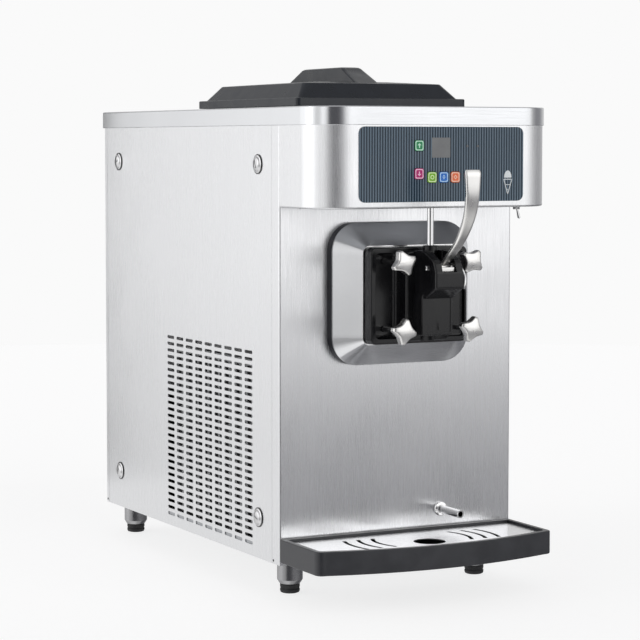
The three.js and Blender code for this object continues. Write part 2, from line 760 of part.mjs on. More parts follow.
// A stirring ribbon that winds round a shaft, held by spokes, with its drive end at the back.
function beater() {
  const [inner, outer, start, end, turns, steps] = [38, 50.5, -30, 318, 3, 30];
  const rings = [];
  for (let i = 0; i <= steps; i++) {
    const angle = (i / steps) * turns * 2 * Math.PI;
    const y = THREE.MathUtils.lerp(start + 3, end - 3, i / steps);
    rings.push(
      [
        [inner, y - 2.5],
        [outer, y - 2.5],
        [outer, y + 2.5],
        [inner, y + 2.5],
      ].map(([r, along]) => [r * Math.cos(angle), along, AXIS_Z + r * Math.sin(angle)]),
    );
  }
  const spokes = [0, 0.5, 1, 1.5, 2, 2.5, 3].map((turn) => {
    const y = THREE.MathUtils.lerp(start + 3, end - 3, turn / turns);
    const angle = turn * 2 * Math.PI;
    return rodX(3, 0, 44, y, 0, 8).rotateY(-angle).translate(0, 0, AXIS_Z);
  });
  return join(
    toGeometry(toSolid(skin(rings))),
    ...spokes,
    rodY(8, start, GEARBOX.front + 14, 0, AXIS_Z, 16),
  );
}

function gearbox() {
  const { front, back, half } = GEARBOX;
  const shape = roundedRectangle(0, AXIS_Z, half, half, 12);
  const feet = [-1, 1].map((side) => box([side * 150 - 10, front + 20, 320 + GAP], [side * 150 + 10, back - 20, 345]));
  const bracket = box([-158, front + 24, 343], [158, back - 24, 352]);
  return cut(
    join(prismY(shape, front, back, 3), bracket, ...feet),
    rodY(9, front - 5, front + 18, 0, AXIS_Z, 16),
    rodY(6.5, back - 16, back + 5, 0, AXIS_Z, 12),
  );
}

// A grooved pulley on its own shaft, about the Y axis, with its shaft towards -Y.
function beltPulley(radius, shaftRadius, shaftLength) {
  const half = (PULLEY.y[1] - PULLEY.y[0]) / 2;
  const profile = [
    [0, -half],
    [radius, -half],
    [radius, -half + 2.5],
    [radius - 5, -2.2],
    [radius - 5, 2.2],
    [radius, half - 2.5],
    [radius, half],
    [0, half],
  ];
  const wheel = turned(profile, 20).rotateX(Math.PI / 2);
  return join(wheel, rodY(shaftRadius, -half - shaftLength, -half + 1, 0, 0, 12));
}

// The belt's loop in the grooves of both pulleys, in the XZ plane.
function driveBelt() {
  const distance = Math.hypot(PULLEY.motorX, PULLEY.motorZ - AXIS_Z);
  const towards = Math.atan2(PULLEY.motorZ - AXIS_Z, PULLEY.motorX);
  const loop = (clearance, Kind) => {
    const [big, small] = [PULLEY.driven + clearance, PULLEY.motor + clearance];
    const spread = Math.acos((big - small) / distance);
    const path = new Kind();
    path.absarc(0, AXIS_Z, big, towards + spread, towards + 2 * Math.PI - spread);
    path.absarc(PULLEY.motorX, PULLEY.motorZ, small, towards - spread, towards + spread);
    path.closePath();
    return path;
  };
  const outline = loop(0.5, THREE.Shape);
  outline.holes.push(loop(-3.2, THREE.Path));
  const middle = (PULLEY.y[0] + PULLEY.y[1]) / 2;
  return prismY(outline, middle - 1.9, middle + 1.9, 10);
}

function beaterMotor() {
  const { motorX: x, motorZ: z } = PULLEY;
  const [front, back] = [210, 396];
  const foot = [front + 25, back - 45].map((y) => box([x - 50, y, 2 + GAP], [x + 50, y + 20, z - 30]));
  return cut(
    join(rodY(62, front, back - 12, x, z, 28), rodY(50, back - 13, back, x, z, 24), ...foot),
    rodY(7.5, back - 20, back + 5, x, z, 12),
  );
}

function compressor() {
  const [x, y] = [-70, 575];
  const can = turned([
    [0, 14],
    [60, 14],
    [74, 26],
    [76, 60],
    [76, 150],
    [66, 182],
    [38, 198],
    [0, 202],
  ], 16).translate(x, y, 0);
  const foot = box([x - 80, y - 70, 8], [x + 80, y + 70, 15]);
  const mounts = [-68, 68].flatMap((dx) => [-58, 58].map((dy) => rodZ(9, 2 + GAP, 9, x + dx, y + dy, 10)));
  return join(can, foot, ...mounts, box([x + 70, y - 25, 70], [x + 96, y + 25, 120]));
}

// A finned block that stands just inside the side panel's slots, with a fan cowl behind it.
function condenser() {
  const [x0, x1, y0, y1, z0, z1] = [-188, -148, 88, 412, 2 + GAP, 296];
  const grooves = [];
  for (let y = y0 + 14; y < y1 - 12; y += 20) {
    grooves.push(box([x0 - 1, y, z0 + 12], [x1 - 8, y + 12, z1 - 10]));
  }
  const cowl = cut(box([x1 - 1, 130, 20], [x1 + 26, 374, 264]), rodX(114, x1 - 5, x1 + 40, 252, 142, 32));
  return join(cut(box([x0, y0, z0], [x1, y1, z1]), ...grooves), cowl);
}

// The fan turns about X through the cowl's centre; the hub is at the origin.
function coolingFan() {
  const blades = [0, 1, 2, 3, 4].map((i) =>
    new THREE.BoxGeometry(2.5, 92, 46)
      .rotateY(0.5)
      .translate(0, 60, 0)
      .rotateX((i * 2 * Math.PI) / 5),
  );
  return join(rodX(24, -9, 9, 0, 0, 20), ...blades, rodX(4, 0, 22, 0, 0, 10));
}

function fanMotor() {
  const [x0, x1, y, z] = [-114, -58, 252, 142];
  const post = box([x0 + 14, y - 20, 2 + GAP], [x1 - 14, y + 20, z - 20]);
  return cut(join(rodX(34, x0, x1, y, z, 20), post), rodX(4.6, x0 - 5, x0 + 16, y, z, 10));
}

// The strain relief that the supply cord would pass through.
function cordGland() {
  const [x, z, face] = [120, 70, BODY.depth];
  return cut(
    join(rodY(10, face - 14, face + 1, x, z, 16), rodY(15, face + GAP, face + 6, x, z, 6), rodY(9, face + 5, face + 16, x, z, 16)),
    rodY(5, face - 20, face + 20, x, z, 12),
  );
}

// ---------------------------------------------------------------- assembly
const machine = new THREE.Group();

function add(name, geometry, finish, position = [0, 0, 0], parent = machine) {
  const mesh = new THREE.Mesh(geometry, finish);
  mesh.name = name;
  mesh.position.set(...position);
  parent.add(mesh);
  return mesh;
}

// Shell
add("chassis_frame", join(chassisFrame(), ...trayRails()), brushedSteel);
add("front_panel", cut(frontPanel(), ...trayRailHoles()), brushedSteel);
add("rear_panel", rearPanel(), brushedSteel);
add("left_side_panel", sidePanel(), brushedSteel, [-BODY.halfWidth, 0, 0]);
add("right_side_panel", sidePanel(), brushedSteel, [BODY.halfWidth - SHEET, 0, 0]);
add("top_cover", topCover(), brushedSteel);
add("head_fascia", headFascia(), brushedSteel);

// The front panel is notched where the tray's rails pass under its lower edge.
function trayRailHoles() {
  return [-1, 1].map((side) => box([side * 120 - 9, -5, -5], [side * 120 + 9, 5, TRAY.bottom]));
}

const places = { front: FASTENER.y[0], rear: FASTENER.y[1] };
const levels = { lower: FASTENER.z[0], upper: FASTENER.z[1] };
for (const [side, sign] of [["left", -1], ["right", 1]]) {
  const group = new THREE.Group();
  group.position.x = sign * BODY.halfWidth;
  group.rotation.z = sign > 0 ? Math.PI : 0;
  machine.add(group);
  for (const [place, y] of Object.entries(places)) {
    for (const [level, z] of Object.entries(levels)) {
      const name = `${side}_fastener_${place}_${level}`;
      add(name, panelFastener(), polishedSteel, [0, -sign * y, z], group);
    }
  }
}

// Controls
add("control_overlay", controlOverlay(), overlayFilm);
add("control_board", controlBoard(), circuitGreen);
for (const [name, [x, z]] of Object.entries(BUTTONS)) {
  add(name, keyPad(), buttonColours[name], [x, HEAD.front - 0.8, z]);
}
add("power_switch_lever", switchLever(), polishedSteel, [TOGGLE.x, TOGGLE.y, HEAD.bottom]);

// Dispensing head
add("door_bezel", doorBezel(), brushedSteel);
add("freezer_door", freezerDoor(), blackPlastic);
add("door_gasket", doorGasket(), rubber);
add("nozzle_cap", nozzleCap(), blackPlastic);
add("draw_valve", drawValve(), blackPlastic);
const rodBottom = VALVE.top + GAP;
add("switch_rod", rodZ(ROD.radius, rodBottom, ROD.top, 0, VALVE.y, 20), polishedSteel);
add("draw_lever", drawLever(), polishedSteel);
add("lever_pin", leverPin(), polishedSteel);
for (const [side, x] of Object.entries(STUD.x)) {
  for (const [level, z] of Object.entries(STUD.z)) {
    const knob = add(`knob_${side}_${level}`, handKnob(), polishedSteel, [x, 0, z]);
    knob.rotation.y = KNOB_TURNS[`${side}_${level}`];
  }
}

// Tray, drain and feet
add("drip_tray", dripTray(), greyPlastic);
add("drip_tray_grid", trayGrid(), brushedSteel);
add("drain_pipe", drainPipe(), polishedSteel);
for (const [side, x] of [["left", -LEG.x], ["right", LEG.x]]) {
  for (const [place, y] of [["front", LEG.y[0]], ["rear", LEG.y[1]]]) {
    add(`leg_sleeve_${place}_${side}`, legSleeve(), polishedSteel, [x, y, 0]);
    add(`leg_pad_${place}_${side}`, legPad(), rubber, [x, y, 0]);
  }
}

// Hopper
add("mix_hopper", mixHopper(), brushedSteel);
add("hopper_lid", hopperLid(), greyPlastic);

// Freezing and driving
const pulleyMiddle = (PULLEY.y[0] + PULLEY.y[1]) / 2;
add("freezing_cylinder", freezingCylinder(), polishedSteel);
add("beater", beater(), polishedSteel);
add("gearbox", gearbox(), aluminium);
add("driven_pulley", beltPulley(PULLEY.driven, 6, 22), aluminium, [0, pulleyMiddle, AXIS_Z]);
add("motor_pulley", beltPulley(PULLEY.motor, 7, 26), aluminium, [
  PULLEY.motorX,
  pulleyMiddle,
  PULLEY.motorZ,
]);
add("drive_belt", driveBelt(), rubber);
add("beater_motor", beaterMotor(), blackPaint);
add("compressor", compressor(), blackPaint);
add("condenser", condenser(), aluminium);
add("cooling_fan", coolingFan(), blackPlastic, [-135, 252, 142]);
add("fan_motor", fanMotor(), blackPaint);
add("cord_gland", cordGland(), blackPlastic);

// Stand the machine on the floor, centred on its own bounding box.
const bounds = new THREE.Box3().setFromObject(machine, true);
const centre = bounds.getCenter(new THREE.Vector3());
machine.position.set(-centre.x, -centre.y, -bounds.min.z);
const product = new THREE.Group();
product.add(machine);

export default product;
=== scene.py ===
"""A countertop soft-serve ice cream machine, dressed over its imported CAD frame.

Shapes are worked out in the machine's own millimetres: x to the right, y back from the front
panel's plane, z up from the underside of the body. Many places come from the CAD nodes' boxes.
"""
import math

import bmesh
import bpy
from mathutils import Euler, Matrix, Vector
from mathutils.geometry import interpolate_bezier


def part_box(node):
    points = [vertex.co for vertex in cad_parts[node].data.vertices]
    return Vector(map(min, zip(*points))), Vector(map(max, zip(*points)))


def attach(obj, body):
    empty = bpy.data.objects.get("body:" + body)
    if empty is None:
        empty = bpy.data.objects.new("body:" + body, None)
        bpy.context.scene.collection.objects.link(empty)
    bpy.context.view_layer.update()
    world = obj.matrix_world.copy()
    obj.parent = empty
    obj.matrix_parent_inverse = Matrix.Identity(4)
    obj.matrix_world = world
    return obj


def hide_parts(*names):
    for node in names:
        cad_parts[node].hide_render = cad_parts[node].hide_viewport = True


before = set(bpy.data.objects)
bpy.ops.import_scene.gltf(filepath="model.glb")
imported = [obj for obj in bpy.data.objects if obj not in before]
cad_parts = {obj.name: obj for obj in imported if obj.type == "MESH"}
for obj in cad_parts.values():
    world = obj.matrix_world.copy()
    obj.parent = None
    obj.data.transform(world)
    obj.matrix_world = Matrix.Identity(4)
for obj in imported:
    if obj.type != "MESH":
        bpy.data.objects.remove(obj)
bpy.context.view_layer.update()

MM = 0.001
ORIGIN = Vector((0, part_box("front_panel")[0].y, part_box("front_panel")[0].z))


def local_box(node):
    """A CAD node's low and high corner, in the machine's millimetres."""
    low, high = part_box(node)
    return (low - ORIGIN) / MM, (high - ORIGIN) / MM


def middle_of(node):
    low, high = local_box(node)
    return (low + high) / 2


def extent(node):
    """A CAD node's low corner, high corner and middle."""
    return *local_box(node), middle_of(node)


# ------------------------------------------------------------------ outlines
def fillet(points, radii, steps=6, closed=True):
    """Rounds the corners of a 2-D polyline with true arcs, by one radius or one per corner."""
    if isinstance(radii, (int, float)):
        radii = [radii] * len(points)
    count = len(points)
    rounded = []
    for i, (point, radius) in enumerate(zip(points, radii)):
        corner = Vector(point)
        if radius <= 0 or (not closed and i in (0, count - 1)):
            rounded.append(tuple(corner))
            continue
        before = Vector(points[i - 1]) - corner
        after = Vector(points[(i + 1) % count]) - corner
        half = before.angle(after) / 2
        reach = min(radius / math.tan(half), 0.49 * before.length, 0.49 * after.length)
        middle = (before.normalized() + after.normalized()).normalized()
        centre = corner + middle * (reach / math.cos(half))
        start = corner + before.normalized() * reach - centre
        end = corner + after.normalized() * reach - centre
        first = math.atan2(start.y, start.x)
        turn = (math.atan2(end.y, end.x) - first + math.pi) % (2 * math.pi) - math.pi
        for step in range(steps + 1):
            angle = first + turn * step / steps
            x = centre.x + start.length * math.cos(angle)
            y = centre.y + start.length * math.sin(angle)
            rounded.append((x, y))
    return rounded


def rectangle(x, y, half_x, half_y, radius=0, steps=6):
    corners = [(-1, -1), (1, -1), (1, 1), (-1, 1)]
    return fillet([(x + i * half_x, y + j * half_y) for i, j in corners], radius, steps)


def circle(x, y, radius, steps=32):
    angles = [2 * math.pi * i / steps for i in range(steps)]
    return [(x + radius * math.cos(a), y + radius * math.sin(a)) for a in angles]


# ------------------------------------------------------------------ solids
def mesh_object(points, faces):
    mesh = bpy.data.meshes.new("shape")
    mesh.from_pydata([ORIGIN + Vector(p) * MM for p in points], [], faces)
    edit = bmesh.new()
    edit.from_mesh(mesh)
    bmesh.ops.remove_doubles(edit, verts=edit.verts, dist=1e-6)
    bmesh.ops.recalc_face_normals(edit, faces=edit.faces)
    edit.to_mesh(mesh)
    edit.free()
    shape = bpy.data.objects.new("shape", mesh)
    bpy.context.scene.collection.objects.link(shape)
    return shape


def loft(rings, closed=False):
    """Skins rings that have the same number of points; the ends are capped unless it closes."""
    count = len(rings[0])
    points = [point for ring in rings for point in ring]
    faces = []
    for i in range(len(rings) if closed else len(rings) - 1):
        near, far = i * count, (i + 1) % len(rings) * count
        for j in range(count):
            k = (j + 1) % count
            faces.append((near + j, near + k, far + k, far + j))
    if not closed:
        faces.append(tuple(reversed(range(count))))
        faces.append(tuple(range(len(points) - count, len(points))))
    return mesh_object(points, faces)


LAY = {
    "x": lambda u, v, w: (w, u, v),
    "y": lambda u, v, w: (u, w, v),
    "z": lambda u, v, w: (u, v, w),
}


def prism(outline, axis, low, high):
    """A flat outline pushed along an axis. The outline lists (y, z), (x, z) or (x, y)."""
    return loft([[LAY[axis](u, v, w) for u, v in outline] for w in (low, high)])


def plate(outline, holes, axis, low, high, lip=0.3):
    """A flat sheet with holes whose edges are slightly eased."""
    curve = bpy.data.curves.new("plate", "CURVE")
    curve.dimensions = "2D"
    curve.fill_mode = "BOTH"
    for loop in [outline, *holes]:
        spline = curve.splines.new("POLY")
        spline.points.add(len(loop) - 1)
        for point, (u, v) in zip(spline.points, loop):
            point.co = (u, v, 0, 1)
        spline.use_cyclic_u = True
    curve.extrude = (high - low) / 2 - lip
    curve.bevel_depth = lip
    curve.offset = -lip
    curve.bevel_resolution = 0
    holder = bpy.data.objects.new("plate", curve)
    bpy.context.scene.collection.objects.link(holder)
    bpy.context.view_layer.update()
    flat = bpy.data.meshes.new_from_object(
        holder.evaluated_get(bpy.context.evaluated_depsgraph_get())
    )
    middle = (low + high) / 2
    points = [LAY[axis](v.co.x, v.co.y, middle + v.co.z) for v in flat.vertices]
    faces = [tuple(p.vertices) for p in flat.polygons]
    bpy.data.objects.remove(holder)
    return mesh_object(points, faces)


def ring_about(centre, axis, radius, along, steps):
    rings = []
    for i in range(steps):
        angle = 2 * math.pi * i / steps
        u, v = radius * math.cos(angle), radius * math.sin(angle)
        rings.append(tuple(Vector(LAY[axis](u, v, along)) + Vector(centre)))
    return rings


def lathe(profile, centre, axis="z", steps=48):
    """Turns a profile of (radius, distance along the axis) about an axis through the centre."""
    return loft([ring_about(centre, axis, radius, along, steps) for radius, along in profile])


def sweep(path, section):
    """Carries a section along a 3-D path. section(t) lists (side, up) offsets at the share t."""
    rings = []
    side = None
    for i, point in enumerate(path):
        ahead = Vector(path[min(i + 1, len(path) - 1)])
        behind = Vector(path[max(i - 1, 0)])
        along = (ahead - behind).normalized()
        if side is None:
            side = Vector((1, 0, 0)) if abs(along.x) < 0.9 else Vector((0, 1, 0))
        side = (side - along * side.dot(along)).normalized()
        up = along.cross(side)
        share = i / (len(path) - 1)
        rings.append([tuple(Vector(point) + side * u + up * v) for u, v in section(share)])
    return loft(rings)


def curve_points(knots, count):
    """Evenly spread points on a smooth curve through the knots."""
    padded = [2 * Vector(knots[0]) - Vector(knots[1]), *map(Vector, knots)]
    padded.append(2 * Vector(knots[-1]) - Vector(knots[-2]))
    points = []
    spans = len(knots) - 1
    for i in range(count):
        place = i / (count - 1) * spans
        span = min(int(place), spans - 1)
        t = place - span
        a, b, c, d = padded[span : span + 4]
        bend = (2 * a - 5 * b + 4 * c - d) * t**2 + (3 * b - a - 3 * c + d) * t**3
        points.append((2 * b + (c - a) * t + bend) / 2)
    return points


def soften(shape, width, segments=3, sharper_than=30, chosen=None):
    """Rounds a solid's sharp edges. chosen takes an edge's middle, in machine millimetres."""
    edit = bmesh.new()
    edit.from_mesh(shape.data)
    edges = []
    for edge in edit.edges:
        if len(edge.link_faces) != 2 or edge.calc_face_angle(0) < math.radians(sharper_than):
            continue
        middle = ((edge.verts[0].co + edge.verts[1].co) / 2 - ORIGIN) / MM
        if chosen is None or chosen(middle):
            edges.append(edge)
    bmesh.ops.bevel(
        edit, geom=edges, offset=width * MM, segments=segments, profile=0.5,
        affect="EDGES", clamp_overlap=True,
    )
    edit.to_mesh(shape.data)
    edit.free()
    return shape


def apply_modifiers(shape):
    bpy.context.view_layer.update()
    graph = bpy.context.evaluated_depsgraph_get()
    mesh = bpy.data.meshes.new_from_object(shape.evaluated_get(graph))
    shape.modifiers.clear()
    shape.data = mesh
    return shape


def combine(operation, body, tools):
    for tool in tools:
        modifier = body.modifiers.new("combine", "BOOLEAN")
        modifier.operation = operation
        modifier.solver = "EXACT"
        modifier.object = tool
        apply_modifiers(body)
        bpy.data.objects.remove(tool)
    return body


def cut(body, *tools):
    return combine("DIFFERENCE", body, tools)


def join(body, *others):
    return combine("UNION", body, others)


def together(shapes):
    """One object of several separate solids."""
    points, faces = [], []
    for shape in shapes:
        start = len(points)
        points += [(v.co - ORIGIN) / MM for v in shape.data.vertices]
        faces += [tuple(start + v for v in p.vertices) for p in shape.data.polygons]
        bpy.data.objects.remove(shape)
    return mesh_object(points, faces)


# ------------------------------------------------------------------ materials
class Shader:
    """A material's node tree, with the few kinds of node that the finishes share."""

    def __init__(self, name, color, roughness, metallic=0.0, **sockets):
        self.material = bpy.data.materials.new(name)
        self.material.use_nodes = True
        self.tree = self.material.node_tree
        self.surface = self.tree.nodes["Principled BSDF"]
        self.set("Base Color", (*color, 1))
        self.set("Roughness", roughness)
        self.set("Metallic", metallic)
        for socket, value in sockets.items():
            self.set(socket.replace("_", " "), value)
        self.material.diffuse_color = (*color, 1)

    def set(self, socket, value):
        self.surface.inputs[socket].default_value = value

    def link(self, output, socket):
        self.tree.links.new(output, self.surface.inputs[socket])

    def node(self, kind, **inputs):
        node = self.tree.nodes.new(kind)
        for key, value in inputs.items():
            node.inputs[key.replace("_", " ")].default_value = value
        return node

    def place(self, stretch=(1, 1, 1)):
        """Positions on the part, in metres times the stretch."""
        where = self.tree.nodes.new("ShaderNodeTexCoord")
        mapping = self.tree.nodes.new("ShaderNodeMapping")
        mapping.inputs["Scale"].default_value = stretch
        self.tree.links.new(where.outputs["Object"], mapping.inputs["Vector"])
        return mapping.outputs["Vector"]

    def noise(self, stretch, detail=3.0, rough=0.5):
        """Noise with about one blotch for each metre divided by the stretch, a number or three."""
        stretch = (stretch,) * 3 if isinstance(stretch, (int, float)) else stretch
        node = self.node("ShaderNodeTexNoise", Scale=1.0, Detail=detail, Roughness=rough)
        self.tree.links.new(self.place(stretch), node.inputs["Vector"])
        return node.outputs["Fac"]

    def between(self, value, low, high, from_low=0.3, from_high=0.7):
        """The value's middle stretch, laid out from low to high."""
        node = self.node("ShaderNodeMapRange")
        for key, number in zip((1, 2, 3, 4), (from_low, from_high, low, high)):
            node.inputs[key].default_value = number
        self.tree.links.new(value, node.inputs[0])
        return node.outputs[0]

    def blend(self, share, first, second):
        node = self.tree.nodes.new("ShaderNodeMix")
        node.data_type = "RGBA"
        node.inputs[6].default_value = (*first, 1)
        node.inputs[7].default_value = (*second, 1)
        self.tree.links.new(share, node.inputs[0])
        return node.outputs[2]

    def tint(self, noise, color, darker, lighter):
        """Lets the base colour drift between a darker and a lighter tone of one colour."""
        share = self.between(noise, 0.0, 1.0)
        self.link(self.blend(share, scaled(color, darker), scaled(color, lighter)), "Base Color")

    def roughen(self, noise, low, high):
        self.link(self.between(noise, low, high), "Roughness")

    def bump(self, height, depth, strength=1.0):
        """Surface relief of the given depth, in metres."""
        node = self.node("ShaderNodeBump", Strength=strength, Distance=depth)
        self.tree.links.new(height, node.inputs["Height"])
        if self.surface.inputs["Normal"].is_linked:
            earlier = self.surface.inputs["Normal"].links[0].from_socket
            self.tree.links.new(earlier, node.inputs["Normal"])
        self.link(node.outputs["Normal"], "Normal")


def scaled(color, factor):
    return tuple(min(1.0, channel * factor) for channel in color)


def brushed_steel(name, grain, color=(0.9, 0.905, 0.92), roughness=0.28, turn=0.0, streak=0.85):
    """Steel sheet polished along one axis: long fine scratches with a soft sheen across them."""
    shader = Shader(name, color, roughness, 1.0, Anisotropic=streak, Anisotropic_Rotation=turn)
    along = {"x": (20, 2600, 2600), "y": (2600, 20, 2600), "z": (2600, 2600, 20)}[grain]
    scratches = shader.noise(along, detail=4.0)
    broad = shader.noise(tuple(value * 0.2 for value in along), detail=2.0)
    smudges = shader.noise(9, detail=2.0)
    shader.tint(broad, color, 0.985, 1.015)
    mixed = shader.node("ShaderNodeMath")
    mixed.operation = "ADD"
    shader.tree.links.new(shader.between(scratches, -0.05, 0.05), mixed.inputs[0])
    shader.tree.links.new(shader.between(smudges, roughness - 0.02, roughness + 0.03), mixed.inputs[1])
    shader.link(mixed.outputs[0], "Roughness")
    shader.bump(scratches, 0.000012, 0.25)
    return shader.material


def bright_metal(name, color, roughness, spread=0.05, relief=0.00002):
    """Turned, drawn or plated metal with faint haze and handling marks."""
    shader = Shader(name, color, roughness, 1.0)
    haze = shader.noise(60, detail=4.0)
    marks = shader.noise(900, detail=2.0)
    shader.roughen(haze, roughness - spread, roughness + spread)
    shader.tint(haze, color, 0.95, 1.03)
    shader.bump(marks, relief, 0.4)
    return shader.material


def moulded_plastic(name, color, roughness, grain, gloss=0.5):
    """Moulded plastic: a fine spark-eroded grain, slight mottling and rubbed patches."""
    shader = Shader(name, color, roughness, 0.0, Specular_IOR_Level=gloss)
    mottle = shader.noise(35, detail=3.0)
    pores = shader.noise(grain, detail=2.0)
    shader.tint(mottle, color, 0.88, 1.15)
    shader.roughen(mottle, roughness - 0.05, roughness + 0.06)
    shader.bump(pores, 0.00006, 0.5)
    return shader.material


def rubber_material(name):
    shader = Shader(name, (0.018, 0.018, 0.02), 0.75)
    dust = shader.noise(90, detail=5.0)
    share = shader.between(dust, 0.0, 1.0, 0.45, 0.8)
    shader.link(shader.blend(share, (0.016, 0.016, 0.018), (0.05, 0.05, 0.05)), "Base Color")
    shader.roughen(dust, 0.65, 0.85)
    shader.bump(shader.noise(700), 0.0001, 0.4)
    return shader.material


def cast_metal(name, color, roughness, metallic=1.0):
    """Cast or sprayed metal with an orange-peel skin."""
    shader = Shader(name, color, roughness, metallic)
    skin_noise = shader.noise(500, detail=4.0)
    stain = shader.noise(20, detail=4.0)
    shader.tint(stain, color, 0.8, 1.1)
    shader.roughen(skin_noise, roughness - 0.08, roughness + 0.1)
    shader.bump(skin_noise, 0.0002, 0.5)
    return shader.material


STRIPE_PITCH = 4.35  # of the fine upright lines on the control panel, in mm


def striped_film(name):
    """The control panel's printed film: upright pinstripes under a glossy face."""
    dark, light = (0.006, 0.016, 0.032), (0.12, 0.17, 0.22)
    shader = Shader(name, dark, 0.14, Specular_IOR_Level=0.3)
    where = shader.tree.nodes.new("ShaderNodeSeparateXYZ")
    shader.tree.links.new(shader.place(), where.inputs[0])
    wave = shader.node("ShaderNodeMath")
    wave.operation = "PINGPONG"
    wave.inputs[1].default_value = STRIPE_PITCH / 2 * MM
    shader.tree.links.new(where.outputs["X"], wave.inputs[0])
    edge = STRIPE_PITCH * 0.25 * MM
    share = shader.between(wave.outputs[0], 0.0, 1.0, edge * 0.8, edge * 1.2)
    shader.link(shader.blend(share, dark, light), "Base Color")
    ink = shader.noise(300, detail=3.0)
    shader.roughen(ink, 0.11, 0.18)
    shader.bump(ink, 0.000006, 0.2)
    return shader.material


def printed_ink(name, color, roughness=0.35):
    shader = Shader(name, color, roughness)
    grain = shader.noise(1200, detail=2.0)
    shader.tint(grain, color, 0.93, 1.04)
    shader.roughen(grain, roughness - 0.05, roughness + 0.08)
    return shader.material


PANEL_STEEL = brushed_steel("panel_steel", "z")
RIM_STEEL = brushed_steel("rim_steel", "x", (0.82, 0.83, 0.85), roughness=0.2, turn=0.25, streak=0.6)
BEZEL_STEEL = brushed_steel("bezel_steel", "x", (0.76, 0.765, 0.78), 0.2, streak=0.3)
GRID_STEEL = brushed_steel("grid_steel", "x", (0.95, 0.95, 0.96), 0.25, streak=0.3)
# Duller, darker steel: the chassis frame's own finish, and painted shade on the head's underside.
CHASSIS_AND_SHADE_STEEL = brushed_steel("chassis_and_painted_shade_steel", "y", (0.5, 0.51, 0.53), 0.4)
CHROME = bright_metal("chrome", (0.88, 0.88, 0.88), 0.11)
SATIN_CHROME = bright_metal("satin_chrome", (0.95, 0.94, 0.92), 0.3)
BLACK = moulded_plastic("black_plastic", (0.005, 0.005, 0.006), 0.22, 900, gloss=0.5)
CHARCOAL = moulded_plastic("charcoal_plastic", (0.014, 0.018, 0.026), 0.31, 1100, gloss=0.5)
RUBBER = rubber_material("rubber")
ALUMINIUM = cast_metal("cast_aluminium", (0.6, 0.61, 0.62), 0.42)
BLACK_PAINT = cast_metal("black_paint", (0.02, 0.02, 0.022), 0.4, 0.0)
BOARD_GREEN = cast_metal("circuit_board", (0.02, 0.12, 0.06), 0.35, 0.0)
FILM = striped_film("striped_film")
WHITE_INK = printed_ink("white_ink", (0.78, 0.82, 0.84))
GREY_GLASS = moulded_plastic("display_window", (0.17, 0.175, 0.18), 0.18, 1500)
DARK_CHROME = bright_metal("dark_chrome", (0.42, 0.43, 0.46), 0.15)
LEG_STEEL = bright_metal("leg_steel", (0.4, 0.4, 0.41), 0.24)
# Near-black glossy metal: painted shade and dark reflection on the bezel's outer wall.
BEZEL_WALL_SHADE_METAL = bright_metal("bezel_wall_shade_metal", (0.07, 0.07, 0.08), 0.2)
POLISHED_STEEL = bright_metal("polished_steel", (0.72, 0.72, 0.73), 0.2, relief=0.00001)
TRAY_BLACK = moulded_plastic("tray_plastic", (0.029, 0.03, 0.035), 0.34, 1000)
KEY_INKS = {
    "up": ("green", (0.01, 0.25, 0.09), (0.55, 0.86, 0.68)),
    "down": ("magenta", (0.48, 0.01, 0.16), (0.93, 0.52, 0.7)),
    "wash": ("lime", (0.2, 0.5, 0.01), (0.76, 0.95, 0.5)),
    "standby": ("blue", (0.01, 0.16, 0.62), (0.48, 0.72, 1.0)),
    "auto": ("orange", (0.86, 0.17, 0.06), (1.0, 0.62, 0.48)),
}
KEY_FACES = {key: printed_ink(f"{ink}_face", face) for key, (ink, face, _) in KEY_INKS.items()}
KEY_BORDERS = {key: printed_ink(f"{ink}_border", line) for key, (ink, _, line) in KEY_INKS.items()}


# ------------------------------------------------------------------ finishing a piece
def piece(name, shape, material, body="cabinet", nodes=(), crease=38):
    """Names a finished shape, gives it its material, and makes it ride and stand for CAD nodes."""
    shape.name = name
    shape.data.name = name
    shape.data.materials.clear()
    shape.data.materials.append(material)
    for polygon in shape.data.polygons:
        polygon.use_smooth = True
    shape.data.set_sharp_from_angle(angle=math.radians(crease))
    weights = shape.modifiers.new("face_weights", "WEIGHTED_NORMAL")
    weights.keep_sharp = True
    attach(shape, body)
    if nodes:
        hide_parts(*nodes)
    return shape


# ------------------------------------------------------------------ camera, floor and light
FOCAL_LENGTH = 125.3  # mm on a 36 mm sensor
CAMERA_PLACE = (-1652.4, -2924.2, 623.7)
CAMERA_YAW, CAMERA_PITCH = math.radians(-27.46), math.radians(-3.81)
CAMERA_SHIFT = -0.0433
BACKDROP = (0.956, 0.956, 0.956, 1)  # what the camera sees behind the machine
CEILING = (0.4, 0.4, 0.41, 1)  # what the steel mirrors overhead
FLOOR_RADIUS, FLOOR_SIDES = 4, 64  # in metres
CARD_FOOT = -50


def set_up_camera():
    data = bpy.data.cameras.new("camera")
    data.sensor_width = 36
    data.lens = FOCAL_LENGTH
    data.shift_y = CAMERA_SHIFT
    data.clip_end = 100
    camera = bpy.data.objects.new("camera", data)
    bpy.context.scene.collection.objects.link(camera)
    camera.location = ORIGIN + Vector(CAMERA_PLACE) * MM
    camera.rotation_euler = Euler((math.pi / 2 + CAMERA_PITCH, 0, CAMERA_YAW))
    bpy.context.scene.camera = camera


def lay_floor():
    """A pale round floor. Steel does not mirror it, so its edge never shows in the machine."""
    edge = [(x, y, 0) for x, y in circle(0, 0, FLOOR_RADIUS, FLOOR_SIDES)]
    mesh = bpy.data.meshes.new("floor")
    mesh.from_pydata(edge, [], [tuple(range(FLOOR_SIDES))])
    floor = bpy.data.objects.new("floor", mesh)
    bpy.context.scene.collection.objects.link(floor)
    floor.visible_glossy = False
    shader = Shader("floor_paper", (0.3, 0.3, 0.3), 0.9)
    shader.set("Emission Color", (0.96, 0.96, 0.96, 1))
    shader.set("Emission Strength", 0.8)
    mesh.materials.append(shader.material)


